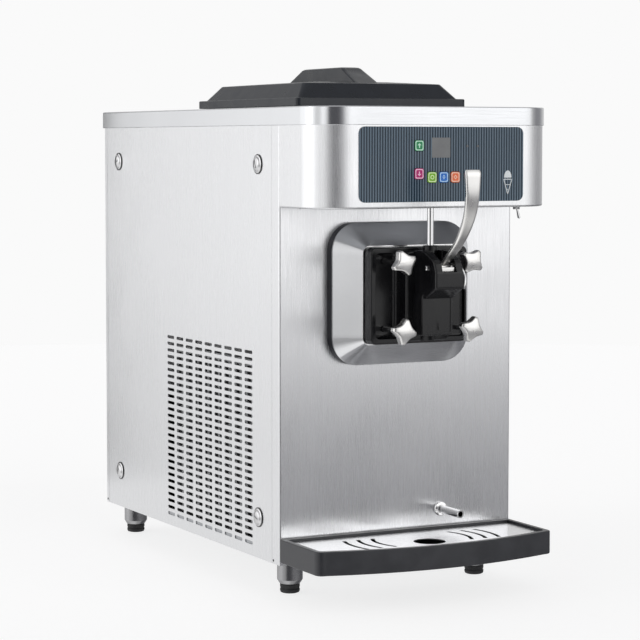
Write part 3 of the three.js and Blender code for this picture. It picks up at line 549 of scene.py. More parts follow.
def ramp(tree, value, stops):
    node = tree.nodes.new("ShaderNodeValToRGB")
    tree.links.new(value, node.inputs[0])
    elements = node.color_ramp.elements
    while len(elements) < len(stops):
        elements.new(0.5)
    for element, (place, level) in zip(elements, stops):
        element.position = place
        cool = 1.0 + 0.22 * max(0.0, 0.45 - level)
        element.color = (level, level, level * cool, 1)
    return node.outputs[0]


# Brightness by compass direction in degrees, 0 in front of the machine and growing towards its
# left: for mirror images that look level, a little downwards, and steeply down at the floor.
LEVEL_BAND = [
    (-180, 0.8), (-118, 0.6), (-95, 0.28), (-76, 0.25), (-62, 0.45), (-50, 1.15), (-30, 1.3),
    (-8, 1.35), (4, 1.0), (16, 0.25), (26, 0.08), (50, 0.08), (59, 0.9), (68, 1.2), (79, 0.75),
    (88, 0.7), (98, 1.1), (112, 2.2), (124, 1.2), (150, 1.1), (158, 0.85), (164, 0.4), (180, 0.45),
]
BELOW_BAND = [
    (-180, 0.6), (-100, 0.15), (-50, 0.24), (-10, 0.22), (14, 0.12), (52, 0.1), (64, 0.5),
    (110, 0.95), (150, 0.85), (180, 0.6),
]
FLOOR_BAND = [
    (-180, 0.5), (-95, 0.12), (-75, 0.12), (-58, 0.6), (0, 0.6), (40, 1.0), (110, 1.0), (180, 0.5),
]


def light_studio():
    """Soft boxes all round, as brightness by compass direction and by height."""
    world = bpy.data.worlds.new("studio")
    bpy.context.scene.world = world
    world.use_nodes = True
    tree = world.node_tree
    background = tree.nodes["Background"]
    direction = tree.nodes.new("ShaderNodeTexCoord")
    parts = tree.nodes.new("ShaderNodeSeparateXYZ")
    tree.links.new(direction.outputs["Generated"], parts.inputs[0])

    def arithmetic(operation, *values):
        node = tree.nodes.new("ShaderNodeMath")
        node.operation = operation
        for socket, value in zip(node.inputs, values):
            if isinstance(value, (int, float)):
                socket.default_value = value
            else:
                tree.links.new(value, socket)
        return node.outputs[0]

    # The compass angle, 0 in front of the machine and growing towards its left, as 0 to 1.
    towards_left = arithmetic("MULTIPLY", parts.outputs["X"], -1.0)
    towards_front = arithmetic("MULTIPLY", parts.outputs["Y"], -1.0)
    turn = arithmetic("ARCTAN2", towards_left, towards_front)
    compass = arithmetic("MULTIPLY_ADD", turn, 1 / (2 * math.pi), 0.5)

    def around(stops):
        return ramp(tree, compass, [((angle + 180) / 360, level) for angle, level in stops])

    height = parts.outputs["Z"]  # -1 straight down, 1 straight up
    low = ramp(tree, arithmetic("MULTIPLY_ADD", height, 1.0, 0.5), [(0.395, 1.0), (0.43, 0.0)])
    top = ramp(tree, height, [(0.45, 0.0), (0.8, 1.0)])
    steep = ramp(tree, arithmetic("ADD", height, 1.0), [(0.3, 1.0), (0.6, 0.0)])

    def mix(share, first, second):
        node = tree.nodes.new("ShaderNodeMix")
        node.data_type = "RGBA"
        tree.links.new(share, node.inputs[0])
        for socket, value in ((node.inputs[6], first), (node.inputs[7], second)):
            if isinstance(value, tuple):
                socket.default_value = value
            else:
                tree.links.new(value, socket)
        return node.outputs[2]

    level, below, floor = (around(band) for band in (LEVEL_BAND, BELOW_BAND, FLOOR_BAND))
    lower = mix(steep, mix(low, level, below), floor)
    surroundings = mix(top, lower, CEILING)
    seen = tree.nodes.new("ShaderNodeLightPath").outputs["Is Camera Ray"]
    tree.links.new(mix(seen, surroundings, BACKDROP), background.inputs["Color"])
    background.inputs["Strength"].default_value = 1.0


def add_black_card(name, left, right, y, top):
    """An upright dark card that shows only in the machine's mirror images."""
    corners = [(left, y, CARD_FOOT), (right, y, CARD_FOOT), (right, y, top), (left, y, top)]
    mesh = bpy.data.meshes.new(name)
    mesh.from_pydata([tuple(ORIGIN + Vector(corner) * MM) for corner in corners], [], [(0, 1, 2, 3)])
    card = bpy.data.objects.new(name, mesh)
    bpy.context.scene.collection.objects.link(card)
    card.visible_camera = False
    card.visible_diffuse = False
    card.visible_shadow = False
    mesh.materials.append(Shader("black_card", (0.06, 0.06, 0.06), 0.9).material)


# ------------------------------------------------------------------ body shell
SHEET = 1.5
SIDES = {"left": -1, "right": 1}
VENT_START, VENT_PITCH, VENT_COUNT = (105.8, 19.5), (36.55, 10.75), (9, 28)
VENT_SLOT = (27.4, 4.8)
# The second number is the thickness of the black disc of painted shadow under each screw.
FASTENER_HEIGHT, SHADOW_RING_THICKNESS = 4.7, 0.7
DRIVER_SLOT = (3.2, 13, 2)
LOUVRE_FIRST, LOUVRE_PITCH, LOUVRE_ROWS, LOUVRE_X = 334, 26, 10, (-95, 95)
HEAD_RADIUS = 60
COLLAR_DROP = 6  # the power switch's collar hangs this far below the head's sheet


def make_side_panels():
    half_slot = (VENT_SLOT[0] / 2, VENT_SLOT[1] / 2)
    slots = [
        rectangle(
            VENT_START[0] + column * VENT_PITCH[0],
            VENT_START[1] + row * VENT_PITCH[1],
            *half_slot,
            radius=half_slot[1] * 0.98,
            steps=4,
        )
        for column in range(VENT_COUNT[0])
        for row in range(VENT_COUNT[1])
    ]
    for side in SIDES:
        low, high, middle = extent(f"{side}_side_panel")
        outline = rectangle(middle.y, middle.z, middle.y - low.y, middle.z - low.z)
        screws = [
            circle(centre.y, centre.z, 4.6, 20)
            for centre in (middle_of(node) for node in fastener_nodes(side))
        ]
        shape = plate(outline, slots + screws, "x", low.x, high.x, lip=0.25)
        piece(f"{side}_vented_panel", shape, PANEL_STEEL, nodes=[f"{side}_side_panel"])


def fastener_nodes(side):
    return [
        f"{side}_fastener_{place}_{level}"
        for place in ("front", "rear")
        for level in ("lower", "upper")
    ]


def make_fasteners():
    """Large plated screws with a flange, a domed middle and a driver slot."""
    for side, sign in SIDES.items():
        for index, node in enumerate(fastener_nodes(side)):
            low, high, centre = extent(node)
            radius = (high.y - low.y) / 2
            flange = radius - 1.3
            face, inner = (high.x, low.x) if sign > 0 else (low.x, high.x)
            seat = face - sign * FASTENER_HEIGHT
            profile = [
                (0, inner), (4, inner), (4, seat), (flange, seat),
                (flange, seat + sign * 1.4), (radius - 1.9, seat + sign * 2.0),
                (radius - 3.2, seat + sign * 2.3), (radius - 3.9, seat + sign * 1.7),
                (radius - 4.6, seat + sign * 2.4), (radius - 5.4, seat + sign * 3.6),
                (radius - 7.5, seat + sign * 4.4), (radius * 0.25, face), (0, face),
            ]
            middle = (0, centre.y, centre.z)
            slot_centre = (face - sign * 1.2, centre.y, centre.z)
            slot = turned_box(slot_centre, DRIVER_SLOT, 20 + 47 * index)
            screw = cut(lathe(profile, middle, "x", 48), slot)
            piece(f"{node}_screw", screw, POLISHED_STEEL, nodes=[node])
            # A thin black disc under each flange, reaching past it: painted contact shadow round the
            # screw head.
            rim = seat + sign * SHADOW_RING_THICKNESS
            outline = [(0, seat), (radius, seat), (radius, rim), (0, rim)]
            piece(f"{node}_shadow_ring", lathe(outline, middle, "x", 48), BLACK)


def turned_box(centre, size, degrees):
    """A box turned about the x axis through its centre."""
    angle = math.radians(degrees)
    corners = []
    for u, v in [(-1, -1), (1, -1), (1, 1), (-1, 1)]:
        y, z = u * size[1] / 2, v * size[2] / 2
        turned_y = y * math.cos(angle) - z * math.sin(angle)
        turned_z = y * math.sin(angle) + z * math.cos(angle)
        corners.append((centre[1] + turned_y, centre[2] + turned_z))
    return prism(corners, "x", centre[0] - size[0] / 2, centre[0] + size[0] / 2)


def bent_sheet(low, high, face, inward):
    """A panel that wraps round both of its upright edges, bent to a true radius."""
    half = high.x
    end = face + inward * (high.y - low.y)
    bend = 3
    outside = fillet(
        [(-half, end), (-half, face), (half, face), (half, end)], [0, bend, bend, 0], closed=False
    )
    w, inside_face = half - SHEET, face + inward * SHEET
    inside = fillet(
        [(w, end), (w, inside_face), (-w, inside_face), (-w, end)],
        [0, bend - SHEET, bend - SHEET, 0],
        closed=False,
    )
    return prism(outside + inside, "z", low.z, high.z)


def make_front_panel():
    low, high = local_box("front_panel")
    shape = bent_sheet(low, high, low.y, 1)
    _, bezel_high, bezel = extent("door_bezel")
    half = bezel_high - bezel
    opening = rectangle(bezel.x, bezel.z, half.x - 18, half.z - 18, 20)
    drain = middle_of("drain_pipe")
    tools = [prism(opening, "y", -5, 8), prism(circle(drain.x, drain.z, 7), "y", -5, 8)]
    for sign in SIDES.values():
        tools.append(prism(rectangle(sign * 120, 0, 9, 4.5), "y", -5, 5))
    piece("front_sheet", cut(shape, together(tools)), PANEL_STEEL, nodes=["front_panel"])


def make_rear_panel():
    low, high = local_box("rear_panel")
    shape = bent_sheet(low, high, high.y, -1)
    gland = middle_of("cord_gland")
    tools = [prism(circle(gland.x, gland.z, 11), "y", high.y - 5, high.y + 5)]
    for row in range(LOUVRE_ROWS):
        for centre in LOUVRE_X:
            slot = rectangle(centre, LOUVRE_FIRST + row * LOUVRE_PITCH, 70, 4, 3.9, 5)
            tools.append(prism(slot, "y", high.y - 5, high.y + 5))
    piece("rear_sheet", cut(shape, together(tools)), PANEL_STEEL, nodes=["rear_panel"])


def make_corner_rivets():
    """Small blind rivets at the foot of each corner return."""
    rivets = []
    for sign in SIDES.values():
        edge = sign * local_box("front_panel")[1].x
        for y in (21, local_box("rear_panel")[1].y - 6):
            stages = [(0, -1), (1.9, -1), (1.9, 0.3), (0, 0.8)]
            profile = [(radius, edge + sign * out) for radius, out in stages]
            rivets.append(lathe(profile, (0, y, 5), "x", 20))
    piece("corner_rivets", together(rivets), BLACK_PAINT)


def head_plan(grow, back):
    """The head's outline from above: square behind, round at both front corners."""
    low, high = local_box("head_fascia")
    half, front, radius = high.x + grow, low.y - grow, HEAD_RADIUS + grow
    corners = [(half, back), (-half, back), (-half, front), (half, front)]
    return fillet(corners, [0, 0, radius, radius], 20)


def make_head_fascia():
    low, high = local_box("head_fascia")
    floor = low.z + COLLAR_DROP
    back = high.y
    shell = prism(head_plan(0, back), "z", floor, high.z)
    soften(shell, 2.5, 4, chosen=lambda p: p.z < floor + 0.1 and p.y < back - 0.1)
    rod = middle_of("switch_rod")
    toggle = toggle_pivot()
    shell = cut(
        shell,
        prism(head_plan(-SHEET, back + 20), "z", floor + SHEET, high.z + 5),
        prism(rectangle(0, 602, 75, 40, 4), "y", low.y - 5, low.y + 5),
        prism(circle(rod.x, rod.y, 6.2), "z", floor - 5, floor + 5),
        prism(circle(toggle.x, toggle.y, 4.6), "z", floor - 5, floor + 5),
    )
    piece("head_sheet", shell, PANEL_STEEL, nodes=["head_fascia"])
    # A darker, duller plate over the head's underside, which is the fascia's own steel: painted shade
    # under the head.
    underside = plate(
        head_plan(-4, -0.5),
        [circle(rod.x, rod.y, 6.5), circle(toggle.x, toggle.y, 7.5)],
        "z", floor - 0.2, floor + 0.1,
    )
    piece("head_underside_painted_shade", underside, CHASSIS_AND_SHADE_STEEL)
    screws = []
    for x, y in [(-188, -40), (-42, -50), (42, -50), (188, -40)]:
        stages = [(0, 1), (3.5, 0.5), (3.5, -0.5), (2.6, -1.6), (0, -2)]
        screws.append(lathe([(radius, floor + up) for radius, up in stages], (x, y, 0), "z", 24))
    piece("head_screws", together(screws), CHROME)


def toggle_pivot():
    low, high = local_box("power_switch_lever")
    return Vector((low.x + 2.5, (low.y + high.y) / 2, local_box("head_fascia")[0].z + COLLAR_DROP))


def make_power_switch():
    pivot = toggle_pivot()
    nut = prism(circle(pivot.x, pivot.y, 7, 6), "z", pivot.z - 2.6, pivot.z + 1)
    soften(nut, 0.5, 2)
    threads = [(4.7, pivot.z + 3)]
    for i in range(5):
        z = pivot.z - 2.4 - i * 0.72
        threads += [(5.4, z), (4.9, z - 0.36)]
    foot = pivot.z - COLLAR_DROP
    profile = [*threads, (4.9, foot), (3.4, foot), (3.4, pivot.z + 3)]
    bushing = lathe(profile, (pivot.x, pivot.y, 0), "z", 32)
    piece("switch_collar", together([nut, bushing]), CHROME)
    lever_low, lever_high = local_box("power_switch_lever")
    tip = Vector((lever_high.x - 2.4, pivot.y, lever_low.z + 1.6))
    along = (tip - pivot).normalized()
    path = [pivot - along * 4.6 + along * ((tip - pivot).length + 6) * i / 16 for i in range(17)]

    def section(t):
        swell = 1.35 + 1.0 * max(0.0, t - 0.25) / 0.75
        if t > 0.93:
            swell *= math.sqrt(max(0.04, 1 - ((t - 0.93) / 0.07) ** 2))
        return circle(0, 0, swell, 20)

    piece("switch_bat", sweep(path, section), CHROME, "power_switch", ["power_switch_lever"])


def make_top_cover():
    low, high = local_box("top_cover")
    grow = high.x - local_box("head_fascia")[1].x
    shell = prism(head_plan(grow, high.y), "z", low.z, high.z)
    soften(shell, 2.2, 4, chosen=lambda p: p.z > high.z - 0.1)
    soften(shell, 0.5, 1, chosen=lambda p: p.z < low.z + 0.1)
    tank_low, tank_high, tank = extent("mix_hopper")
    opening = rectangle(0, tank.y, tank_high.x - 21, tank.y - tank_low.y - 21, 8)
    shell = cut(
        shell,
        prism(head_plan(grow - SHEET, high.y - SHEET), "z", low.z - 5, high.z - SHEET),
        prism(opening, "z", high.z - 10, high.z + 10),
    )
    piece("top_sheet", shell, RIM_STEEL, nodes=["top_cover"])


# ------------------------------------------------------------------ controls
PRINT = 0.12  # thickness of anything printed
WINDOW = (-3.2, 618.4, 15.4, 14.5)  # the display's centre and half sizes
LAMPS_X, LAMPS_Z = (41, 58.9), 620.6
CONE_TIP = (111, 549.8)


def make_control_panel():
    low, high, middle = extent("control_overlay")
    outline = rectangle(0, middle.z, high.x, middle.z - low.z, 10, 8)
    holes = []
    for key_name in KEY_INKS:
        _, key_high, key = extent(f"button_{key_name}")
        holes.append(
            rectangle(key.x, key.z, key_high.x - key.x + 0.4, key_high.z - key.z + 0.4, 3.4, 5)
        )
    film = plate(outline, holes, "y", low.y, high.y, lip=0.35)
    piece("panel_film", film, FILM, nodes=["control_overlay"])
    face = low.y
    window = prism(rectangle(*WINDOW, 0.8, 3), "y", face - PRINT, face + 0.2)
    piece("display_window", window, GREY_GLASS)
    stages = [(0, 0.3), (1.7, 0.3), (1.7, -0.5), (0.8, -0.9), (0, -0.9)]
    profile = [(radius, face + along) for radius, along in stages]
    lamps = [lathe(profile, (x, 0, LAMPS_Z), "y", 20) for x in LAMPS_X]
    piece("indicator_lamps", together(lamps), GREY_GLASS)
    piece("cone_symbol", cone_symbol(*CONE_TIP, face), WHITE_INK)


def cone_symbol(x, z, face):
    """A plain cone with one round scoop, printed in outline."""
    back, front = face + 0.1, face - PRINT

    def bar(start, end, width=1.1):
        (x0, z0), (x1, z1) = start, end
        run = Vector((x1 - x0, z1 - z0)).normalized() * width / 2
        corners = [
            (x0 + run.y, z0 - run.x), (x1 + run.y, z1 - run.x),
            (x1 - run.y, z1 + run.x), (x0 - run.y, z0 + run.x),
        ]
        return prism(corners, "y", front, back)

    point, left, right = (x, z), (x - 7, z + 22), (x + 7, z + 22)
    shapes = [bar(point, left), bar(point, right), bar(left, right)]
    for reach, up in [(4.4, 14), (2, 6.5)]:
        shapes.append(bar((x - reach, z + up), (x + reach, z + up), 0.8))
    scoop = [(x + 6.4 * math.cos(a), z + 24.4 + 10.5 * math.sin(a)) for a in half_turn(20)]
    shapes.append(prism(scoop, "y", front, back))
    return together(shapes)


def half_turn(steps):
    return [math.pi * i / steps for i in range(steps + 1)]


def make_keys():
    for name, draw_symbol in KEY_SYMBOLS.items():
        node, body = f"button_{name}", f"{name}_key"
        low, high, middle = extent(node)
        half_x, half_z = high.x - middle.x, high.z - middle.z
        pad = prism(rectangle(middle.x, middle.z, half_x, half_z, 3, 6), "y", low.y, high.y)
        soften(pad, 0.4, 2, chosen=lambda p: p.y < low.y + 0.05)
        piece(f"{body}_pad", pad, KEY_FACES[name], body, [node])
        frame_outline = rectangle(middle.x, middle.z, half_x - 0.7, half_z - 0.7, 2.8, 5)
        frame_hole = rectangle(middle.x, middle.z, half_x - 2.3, half_z - 2.3, 2.0, 5)
        border = plate(frame_outline, [frame_hole], "y", low.y - PRINT, low.y + PRINT, lip=0.02)
        piece(f"{body}_border", border, KEY_BORDERS[name], body)
        symbol = draw_symbol(middle.x, middle.z, low.y)
        piece(f"{body}_symbol", symbol, KEY_BORDERS[name], body)


def printed(outline, face):
    return prism(outline, "y", face - PRINT, face + PRINT)


def arrow_symbol(sign):
    def draw(x, z, face):
        stem = [(-0.9, -3.4), (0.9, -3.4), (0.9, 0.2), (3.2, 0.2), (0, 3.6), (-3.2, 0.2), (-0.9, 0.2)]
        return printed([(x + u, z + sign * v) for u, v in stem], face)

    return draw


def ring_symbol(x, z, face):
    return plate(circle(x, z, 3.3, 24), [circle(x, z, 1.9, 24)], "y", face - PRINT, face + PRINT, 0.02)


def bars_symbol(x, z, face):
    bars = [rectangle(x, z + 2.2 * i, 1.4 + 0.9 * (1 - abs(i)), 0.7, 0.3, 2) for i in (-1, 0, 1)]
    return together([printed(outline, face) for outline in bars])


def diamond_symbol(x, z, face):
    outer = [(x + 3.4, z), (x, z + 3.4), (x - 3.4, z), (x, z - 3.4)]
    inner = [(x + 1.7, z), (x, z + 1.7), (x - 1.7, z), (x, z - 1.7)]
    return plate(outer, [inner], "y", face - PRINT, face + PRINT, 0.02)


KEY_SYMBOLS = {
    "up": arrow_symbol(1),
    "down": arrow_symbol(-1),
    "wash": ring_symbol,
    "standby": bars_symbol,
    "auto": diamond_symbol,
}


# ------------------------------------------------------------------ bezel and door
def rounded_ring(centre, half_x, half_z, radius, y, steps=14):
    """A rounded rectangle with two more points on each side, which keep its flats flat."""
    outline = rectangle(centre.x, centre.z, half_x, half_z, radius, steps)
    corner = steps + 1
    ring = []
    for i, (u, v) in enumerate(outline):
        ring.append((u, y, v))
        if (i + 1) % corner == 0:
            ahead_u, ahead_v = outline[(i + 1) % len(outline)]
            for share in (0.04, 0.96):
                ring.append((u + share * (ahead_u - u), y, v + share * (ahead_v - v)))
    return ring


DOOR_X, DOOR_Z, DOOR_HALF = -4, 400.5, (82, 71.5)
DOOR_BACK, DOOR_FRONT = -52.3, -72
BEZEL_WALL, BEZEL_RADIUS = -16, 43


def make_bezel():
    low, high, middle = extent("door_bezel")
    half_x, half_z = high.x - middle.x, high.z - middle.z
    inner_x, inner_z = DOOR_HALF
    door = Vector((DOOR_X, 0, DOOR_Z))
    wall, front, radius = BEZEL_WALL, low.y, BEZEL_RADIUS
    # A near-black skin over the bezel's outer steel wall: painted shade and dark reflection of that
    # wall.
    band = [(0, high.y), (0, wall + 1.4), (0.5, wall + 1.4), (0.5, high.y)]
    rings = [rounded_ring(middle, half_x - d, half_z - d, radius - d, y) for d, y in band]
    piece("bezel_wall_painted_shade", loft(rings, closed=True), BEZEL_WALL_SHADE_METAL, crease=40)
    # Half sizes, corner radius, depth and centre of each ring, from the panel outwards and back.
    stages = [
        (half_x - 0.7, half_z - 0.7, radius - 0.7, high.y, middle),
        (half_x - 0.7, half_z - 0.7, radius - 0.7, wall + 1.2, middle),
        (half_x - 0.1, half_z - 0.1, radius - 0.1, wall + 0.9, middle),
        (half_x - 0.3, half_z - 0.3, radius - 0.3, wall + 0.2, middle),
        (half_x - 1.1, half_z - 1.1, radius - 1, wall - 0.3, middle),
        (inner_x + 1.6, inner_z + 1.6, 10.4, front + 1.0, door),
        (inner_x + 0.9, inner_z + 0.9, 9.8, front + 0.15, door),
        (inner_x + 0.3, inner_z + 0.3, 9.3, front, door),
        (inner_x, inner_z, 9, front + 0.3, door),
        (inner_x, inner_z, 9, front + 2.4, door),
        (half_x - 2, half_z - 2, radius - 2, wall + 0.8, middle),
        (half_x - 2, half_z - 2, radius - 2, high.y, middle),
    ]
    rings = [rounded_ring(c, x, z, r, y) for x, z, r, y, c in stages]
    piece("bezel_frame", loft(rings, closed=True), BEZEL_STEEL, nodes=["door_bezel"], crease=28)


def make_bezel_lip():
    """The polished edge that frames the bezel's opening."""
    front = local_box("door_bezel")[0].y
    centre = Vector((DOOR_X, 0, DOOR_Z))
    rings = []
    for grow, y in [(0.1, 0.4), (0.1, -0.5), (0.4, -0.8), (1.9, -0.8), (2.2, -0.5), (2.2, 0.4)]:
        half = [side + grow for side in DOOR_HALF]
        rings.append(rounded_ring(centre, *half, 9 + grow, front + y))
    piece("bezel_lip", loft(rings, closed=True), CHROME, crease=30)


STUD_PLACES = {
    "left_lower": (-59, 351.5),
    "left_upper": (-59, 451.5),
    "right_lower": (55, 351.5),
    "right_upper": (55, 451.5),
}
COLUMN_HALF, COLUMN_FRONT = 37, -90
OUTLET_HALF, OUTLET_FRONT, OUTLET_BOTTOM, OUTLET_TOP = 26, -118, 344, 408
CLEVIS_HALF = 23.5
VALVE_Y = -96  # the plunger's axis
PIVOT_Y, PIVOT_Z = -127, 443.5  # the lever's axis


def door_slab():
    """The door's flat body, with a pocket round each pair of studs."""
    slab = prism(rectangle(DOOR_X, DOOR_Z, *DOOR_HALF, 9, 8), "y", DOOR_FRONT, DOOR_BACK)
    soften(slab, 2.2, 4, chosen=lambda p: p.y < DOOR_FRONT + 0.1)
    pockets = []
    for sign in SIDES.values():
        rim, depth, cove = (8, 12, 9) if sign < 0 else (4, 7, 3)
        inner, outer = sign * COLUMN_HALF, DOOR_X + sign * (DOOR_HALF[0] - rim)
        outline = rectangle((inner + outer) / 2, DOOR_Z, abs(outer - inner) / 2, 63.5, 7, 6)
        pocket = prism(outline, "y", DOOR_FRONT - 5, DOOR_FRONT + depth)
        soften(pocket, cove, 6, chosen=lambda p: p.y > DOOR_FRONT + 5)
        pockets.append(pocket)
    cut(slab, *pockets)
    return soften(slab, 1.2, 3, 60, chosen=lambda p: p.y < DOOR_FRONT + 0.05)


def door_column():
    outline = rectangle(0, DOOR_Z, COLUMN_HALF, 66.5, 8, 6)
    column = prism(outline, "y", COLUMN_FRONT, DOOR_FRONT + 1)
    return soften(column, 3.5, 5, chosen=lambda p: p.y < COLUMN_FRONT + 0.1)


def outlet_block():
    middle, half = (OUTLET_BOTTOM + OUTLET_TOP) / 2, (OUTLET_TOP - OUTLET_BOTTOM) / 2
    outline = rectangle(0, middle, OUTLET_HALF, half)
    block = prism(fillet(outline, [1.5, 1.5, 9, 9], 8), "y", OUTLET_FRONT, COLUMN_FRONT + 4)
    return soften(block, 4.5, 6, chosen=lambda p: p.y < OUTLET_FRONT + 0.1)


def lever_clevis():
    """The rounded housing that the lever turns in, as a side view pushed across the door."""
    side = [
        (-86, 396), (-124, 398.5), (-153.4, 414), (-153.4, 438), (-146, 455), (-120, 468), (-86, 468.5),
    ]
    clevis = prism(fillet(side, [0, 5, 5, 9, 16, 20, 0], 6), "x", -CLEVIS_HALF, CLEVIS_HALF)
    return soften(clevis, 3.2, 5, 60, lambda p: abs(p.x) > CLEVIS_HALF - 0.1 and p.y < -87)


def door_hollows():
    """What is cut from the door: its face, the lever's slot, and every bore."""
    face = prism(rectangle(0, 373, 22, 25, 1.5, 4), "y", OUTLET_FRONT - 1, OUTLET_FRONT + 0.9)
    slot = prism(rectangle(0, -130.8, 12, 18.8, 1.5, 3), "z", 424, 490)
    slot_mouth = prism(rectangle(0, -150, 12, 12, 0.5, 2), "z", 438.3, 490)
    throat = prism(rectangle(0, (VALVE_Y - 130) / 2, 8.5, 17, 2, 3), "z", 430, 490)
    plunger_bore = prism(circle(0, VALVE_Y, 11.5, 40), "z", 340, 490)
    cap_bore = prism(circle(0, VALVE_Y, 14, 48), "z", 325, 351)
    feed_bore = prism(circle(0, 362, 7, 24), "y", VALVE_Y, -30)
    pin_bore = prism(circle(PIVOT_Y, PIVOT_Z, 3.4, 24), "x", -30, 30)
    studs = [prism(circle(x, z, 4.7, 24), "y", -160, -30) for x, z in STUD_PLACES.values()]
    return [face, slot, slot_mouth, throat, plunger_bore, cap_bore, feed_bore, pin_bore, *studs]


def make_door():
    spine = prism(rectangle(0, -104, 20, 18, 3, 6), "z", 400, 468)
    plug = prism(circle(0, 401, 50, 48), "y", DOOR_BACK - 1, -40)
    body = join(door_slab(), door_column(), outlet_block(), spine, lever_clevis(), plug)
    cut(body, *door_hollows())
    piece("door_moulding", body, BLACK, nodes=["freezer_door"], crease=32)
    ridge = loft([
        [(u, OUTLET_FRONT + 1.1, v) for u, v in [(-3, 351), (3, 351), (0.6, 370), (-0.6, 370)]],
        [(u, OUTLET_FRONT - 0.4, v) for u, v in [(-0.4, 353), (0.4, 353), (0.3, 366), (-0.3, 366)]],
    ])
    piece("outlet_ridge", ridge, BLACK)


def make_nozzle_cap():
    low, high = local_box("nozzle_cap")
    rings = []
    for radius_cut, z in [(1.2, low.z), (0, low.z + 1.4), (0, high.z - 1), (1, high.z)]:
        ring = []
        for i in range(144):
            angle = 2 * math.pi * i / 144
            radius = high.x - radius_cut - 0.5 * (1 - math.cos(24 * angle)) / 2
            ring.append((radius * math.cos(angle), VALVE_Y + radius * math.sin(angle), z))
        rings.append(ring)
    star = []
    for i in range(12):
        radius = 5 if i % 2 else 9
        angle = i * math.pi / 6
        star.append((radius * math.cos(angle), VALVE_Y + radius * math.sin(angle)))
    opening = prism(fillet(star, [0.8] * 12, 3), "z", low.z - 5, high.z + 5)
    piece("outlet_ring", cut(loft(rings), opening), BLACK, "outlet_cap", ["nozzle_cap"])


# ------------------------------------------------------------------ lever, valve rod and knobs
BALL_RADIUS = 7


def lever_section(t):
    """The handle's section at the share t: a rounded bar, hollow in front, flared at its tip."""
    flare = max(0.0, (t - 0.82) / 0.18) ** 2
    half_wide = 4.6 + 6.9 * min(1, t * 1.1) + 2 * flare
    half_thick = 2.9 + 3.1 * t
    closing = 1 if t < 0.965 else math.sqrt(max(0.05, 1 - ((t - 0.965) / 0.037) ** 2))
    outline = []
    for i in range(32):
        angle = 2 * math.pi * i / 32
        u = math.copysign(abs(math.cos(angle)) ** 0.55, math.cos(angle))
        v = math.copysign(abs(math.sin(angle)) ** 0.7, math.sin(angle))
        hollow = 0.38 * t * (1 - u * u) if v < 0 else 0
        outline.append((half_wide * u * (0.8 + 0.2 * closing), half_thick * (v + hollow) * closing))
    return outline


def lever_saddle():
    """The bright block at the lever's root, and the two screw ends on it."""
    block = prism(rectangle(0, PIVOT_Y - 14.7, 11, 5.7, 1, 3), "z", PIVOT_Z - 4.5, PIVOT_Z + 1.5)
    dome = [(0, 0), (1.8, 0), (1.8, 1.4), (1.2, 2.2), (0, 2.4)]
    ends = [lathe(dome, (x, PIVOT_Y - 15, PIVOT_Z + 1.4), "z", 16) for x in (-9, 9)]
    return soften(block, 0.6, 2), ends


def lever_ball_arm():
    """The arm behind the pivot, and the ball that lifts the plunger."""
    ball_y = VALVE_Y - 2
    outline = rectangle(0, (PIVOT_Y + ball_y) / 2, 4, 14.5, 1, 3)
    arm = prism(outline, "z", PIVOT_Z - 3.5, PIVOT_Z + 3.5)
    arc = [(BALL_RADIUS * math.sin(a), -BALL_RADIUS * math.cos(a)) for a in half_turn(16)]
    return arm, lathe(arc, (0, ball_y, PIVOT_Z), "z", 32)


def make_lever():
    knots = [(-129, 447), (-144, 455.5), (-177.6, 481.5), (-202, 512.5), (-213, 544), (-214.5, 587)]
    handle = sweep(curve_points([(0, y, z) for y, z in knots], 60), lever_section)
    rim = [(0, -11.5), (6.7, -11.5), (7.5, -10.7), (7.5, 10.7), (6.7, 11.5), (0, 11.5)]
    hub = lathe(rim, (0, PIVOT_Y, PIVOT_Z), "x", 40)
    saddle, ends = lever_saddle()
    lever = join(handle, hub, saddle, *lever_ball_arm(), *ends)
    cut(lever, prism(circle(PIVOT_Y, PIVOT_Z, 3.3, 32), "x", -20, 20))
    piece("lever_handle", lever, SATIN_CHROME, "lever", ["draw_lever"], crease=40)


def make_lever_pin():
    low, high = local_box("lever_pin")
    path = [(low.x + i * (26 - low.x) / 8, PIVOT_Y, PIVOT_Z) for i in range(8)]
    bend = [(26, 0), (38, 0), (43.5, 16), (38.5, 32)]
    hook = [Vector((x, PIVOT_Y, PIVOT_Z - drop)) for x, drop in bend]
    path += [tuple(point) for point in interpolate_bezier(*hook, 16)]

    def section(t):
        end = min(t, 1 - t) / 0.02
        return circle(0, 0, 3 * (1 if end >= 1 else 0.82 + 0.18 * end), 24)

    edge = -CLEVIS_HALF + 1
    stages = [(0, 0), (3.9, 0), (3.9, 2.8), (3.5, 3.5), (2.6, 3.9), (0, 4.1)]
    dome = [(radius, edge - out) for radius, out in stages]
    head = lathe(dome, (0, PIVOT_Y, PIVOT_Z), "x", 32)
    piece("pull_pin", join(sweep(path, section), head), CHROME, nodes=["lever_pin"])


def make_valve():
    low, high = local_box("switch_rod")
    profile = [(0, low.z), (5, low.z), (5, high.z - 1), (4, high.z), (0, high.z)]
    piece("valve_rod", lathe(profile, (0, VALVE_Y, 0), "z", 40), CHROME, "valve", ["switch_rod"])
    low, high = local_box("draw_valve")
    grooves = []
    for z in (low.z + 8, low.z + 18, high.z - 12):
        grooves += [(11, z - 1.6), (9.6, z - 1.2), (9.6, z + 1.2), (11, z + 1.6)]
    profile = [
        (0, low.z), (10.2, low.z), (11, low.z + 0.8), *grooves,
        (11, high.z - 0.8), (10.2, high.z), (0, high.z),
    ]
    plunger = lathe(profile, (0, VALVE_Y, 0), "z", 48)
    socket = prism(rectangle(0, VALVE_Y - 7.5, 7.6, 12.5, 1, 3), "z", 434, 453)
    piece("valve_plunger", cut(plunger, socket), BLACK, "valve", ["draw_valve"])


KNOB_TURNS = {"left_upper": 1.15, "left_lower": 0.2, "right_upper": 0.67, "right_lower": 0.37}
KNOB_TIP, KNOB_VALLEY, KNOB_DOME = 19.6, 12.2, 55  # radii


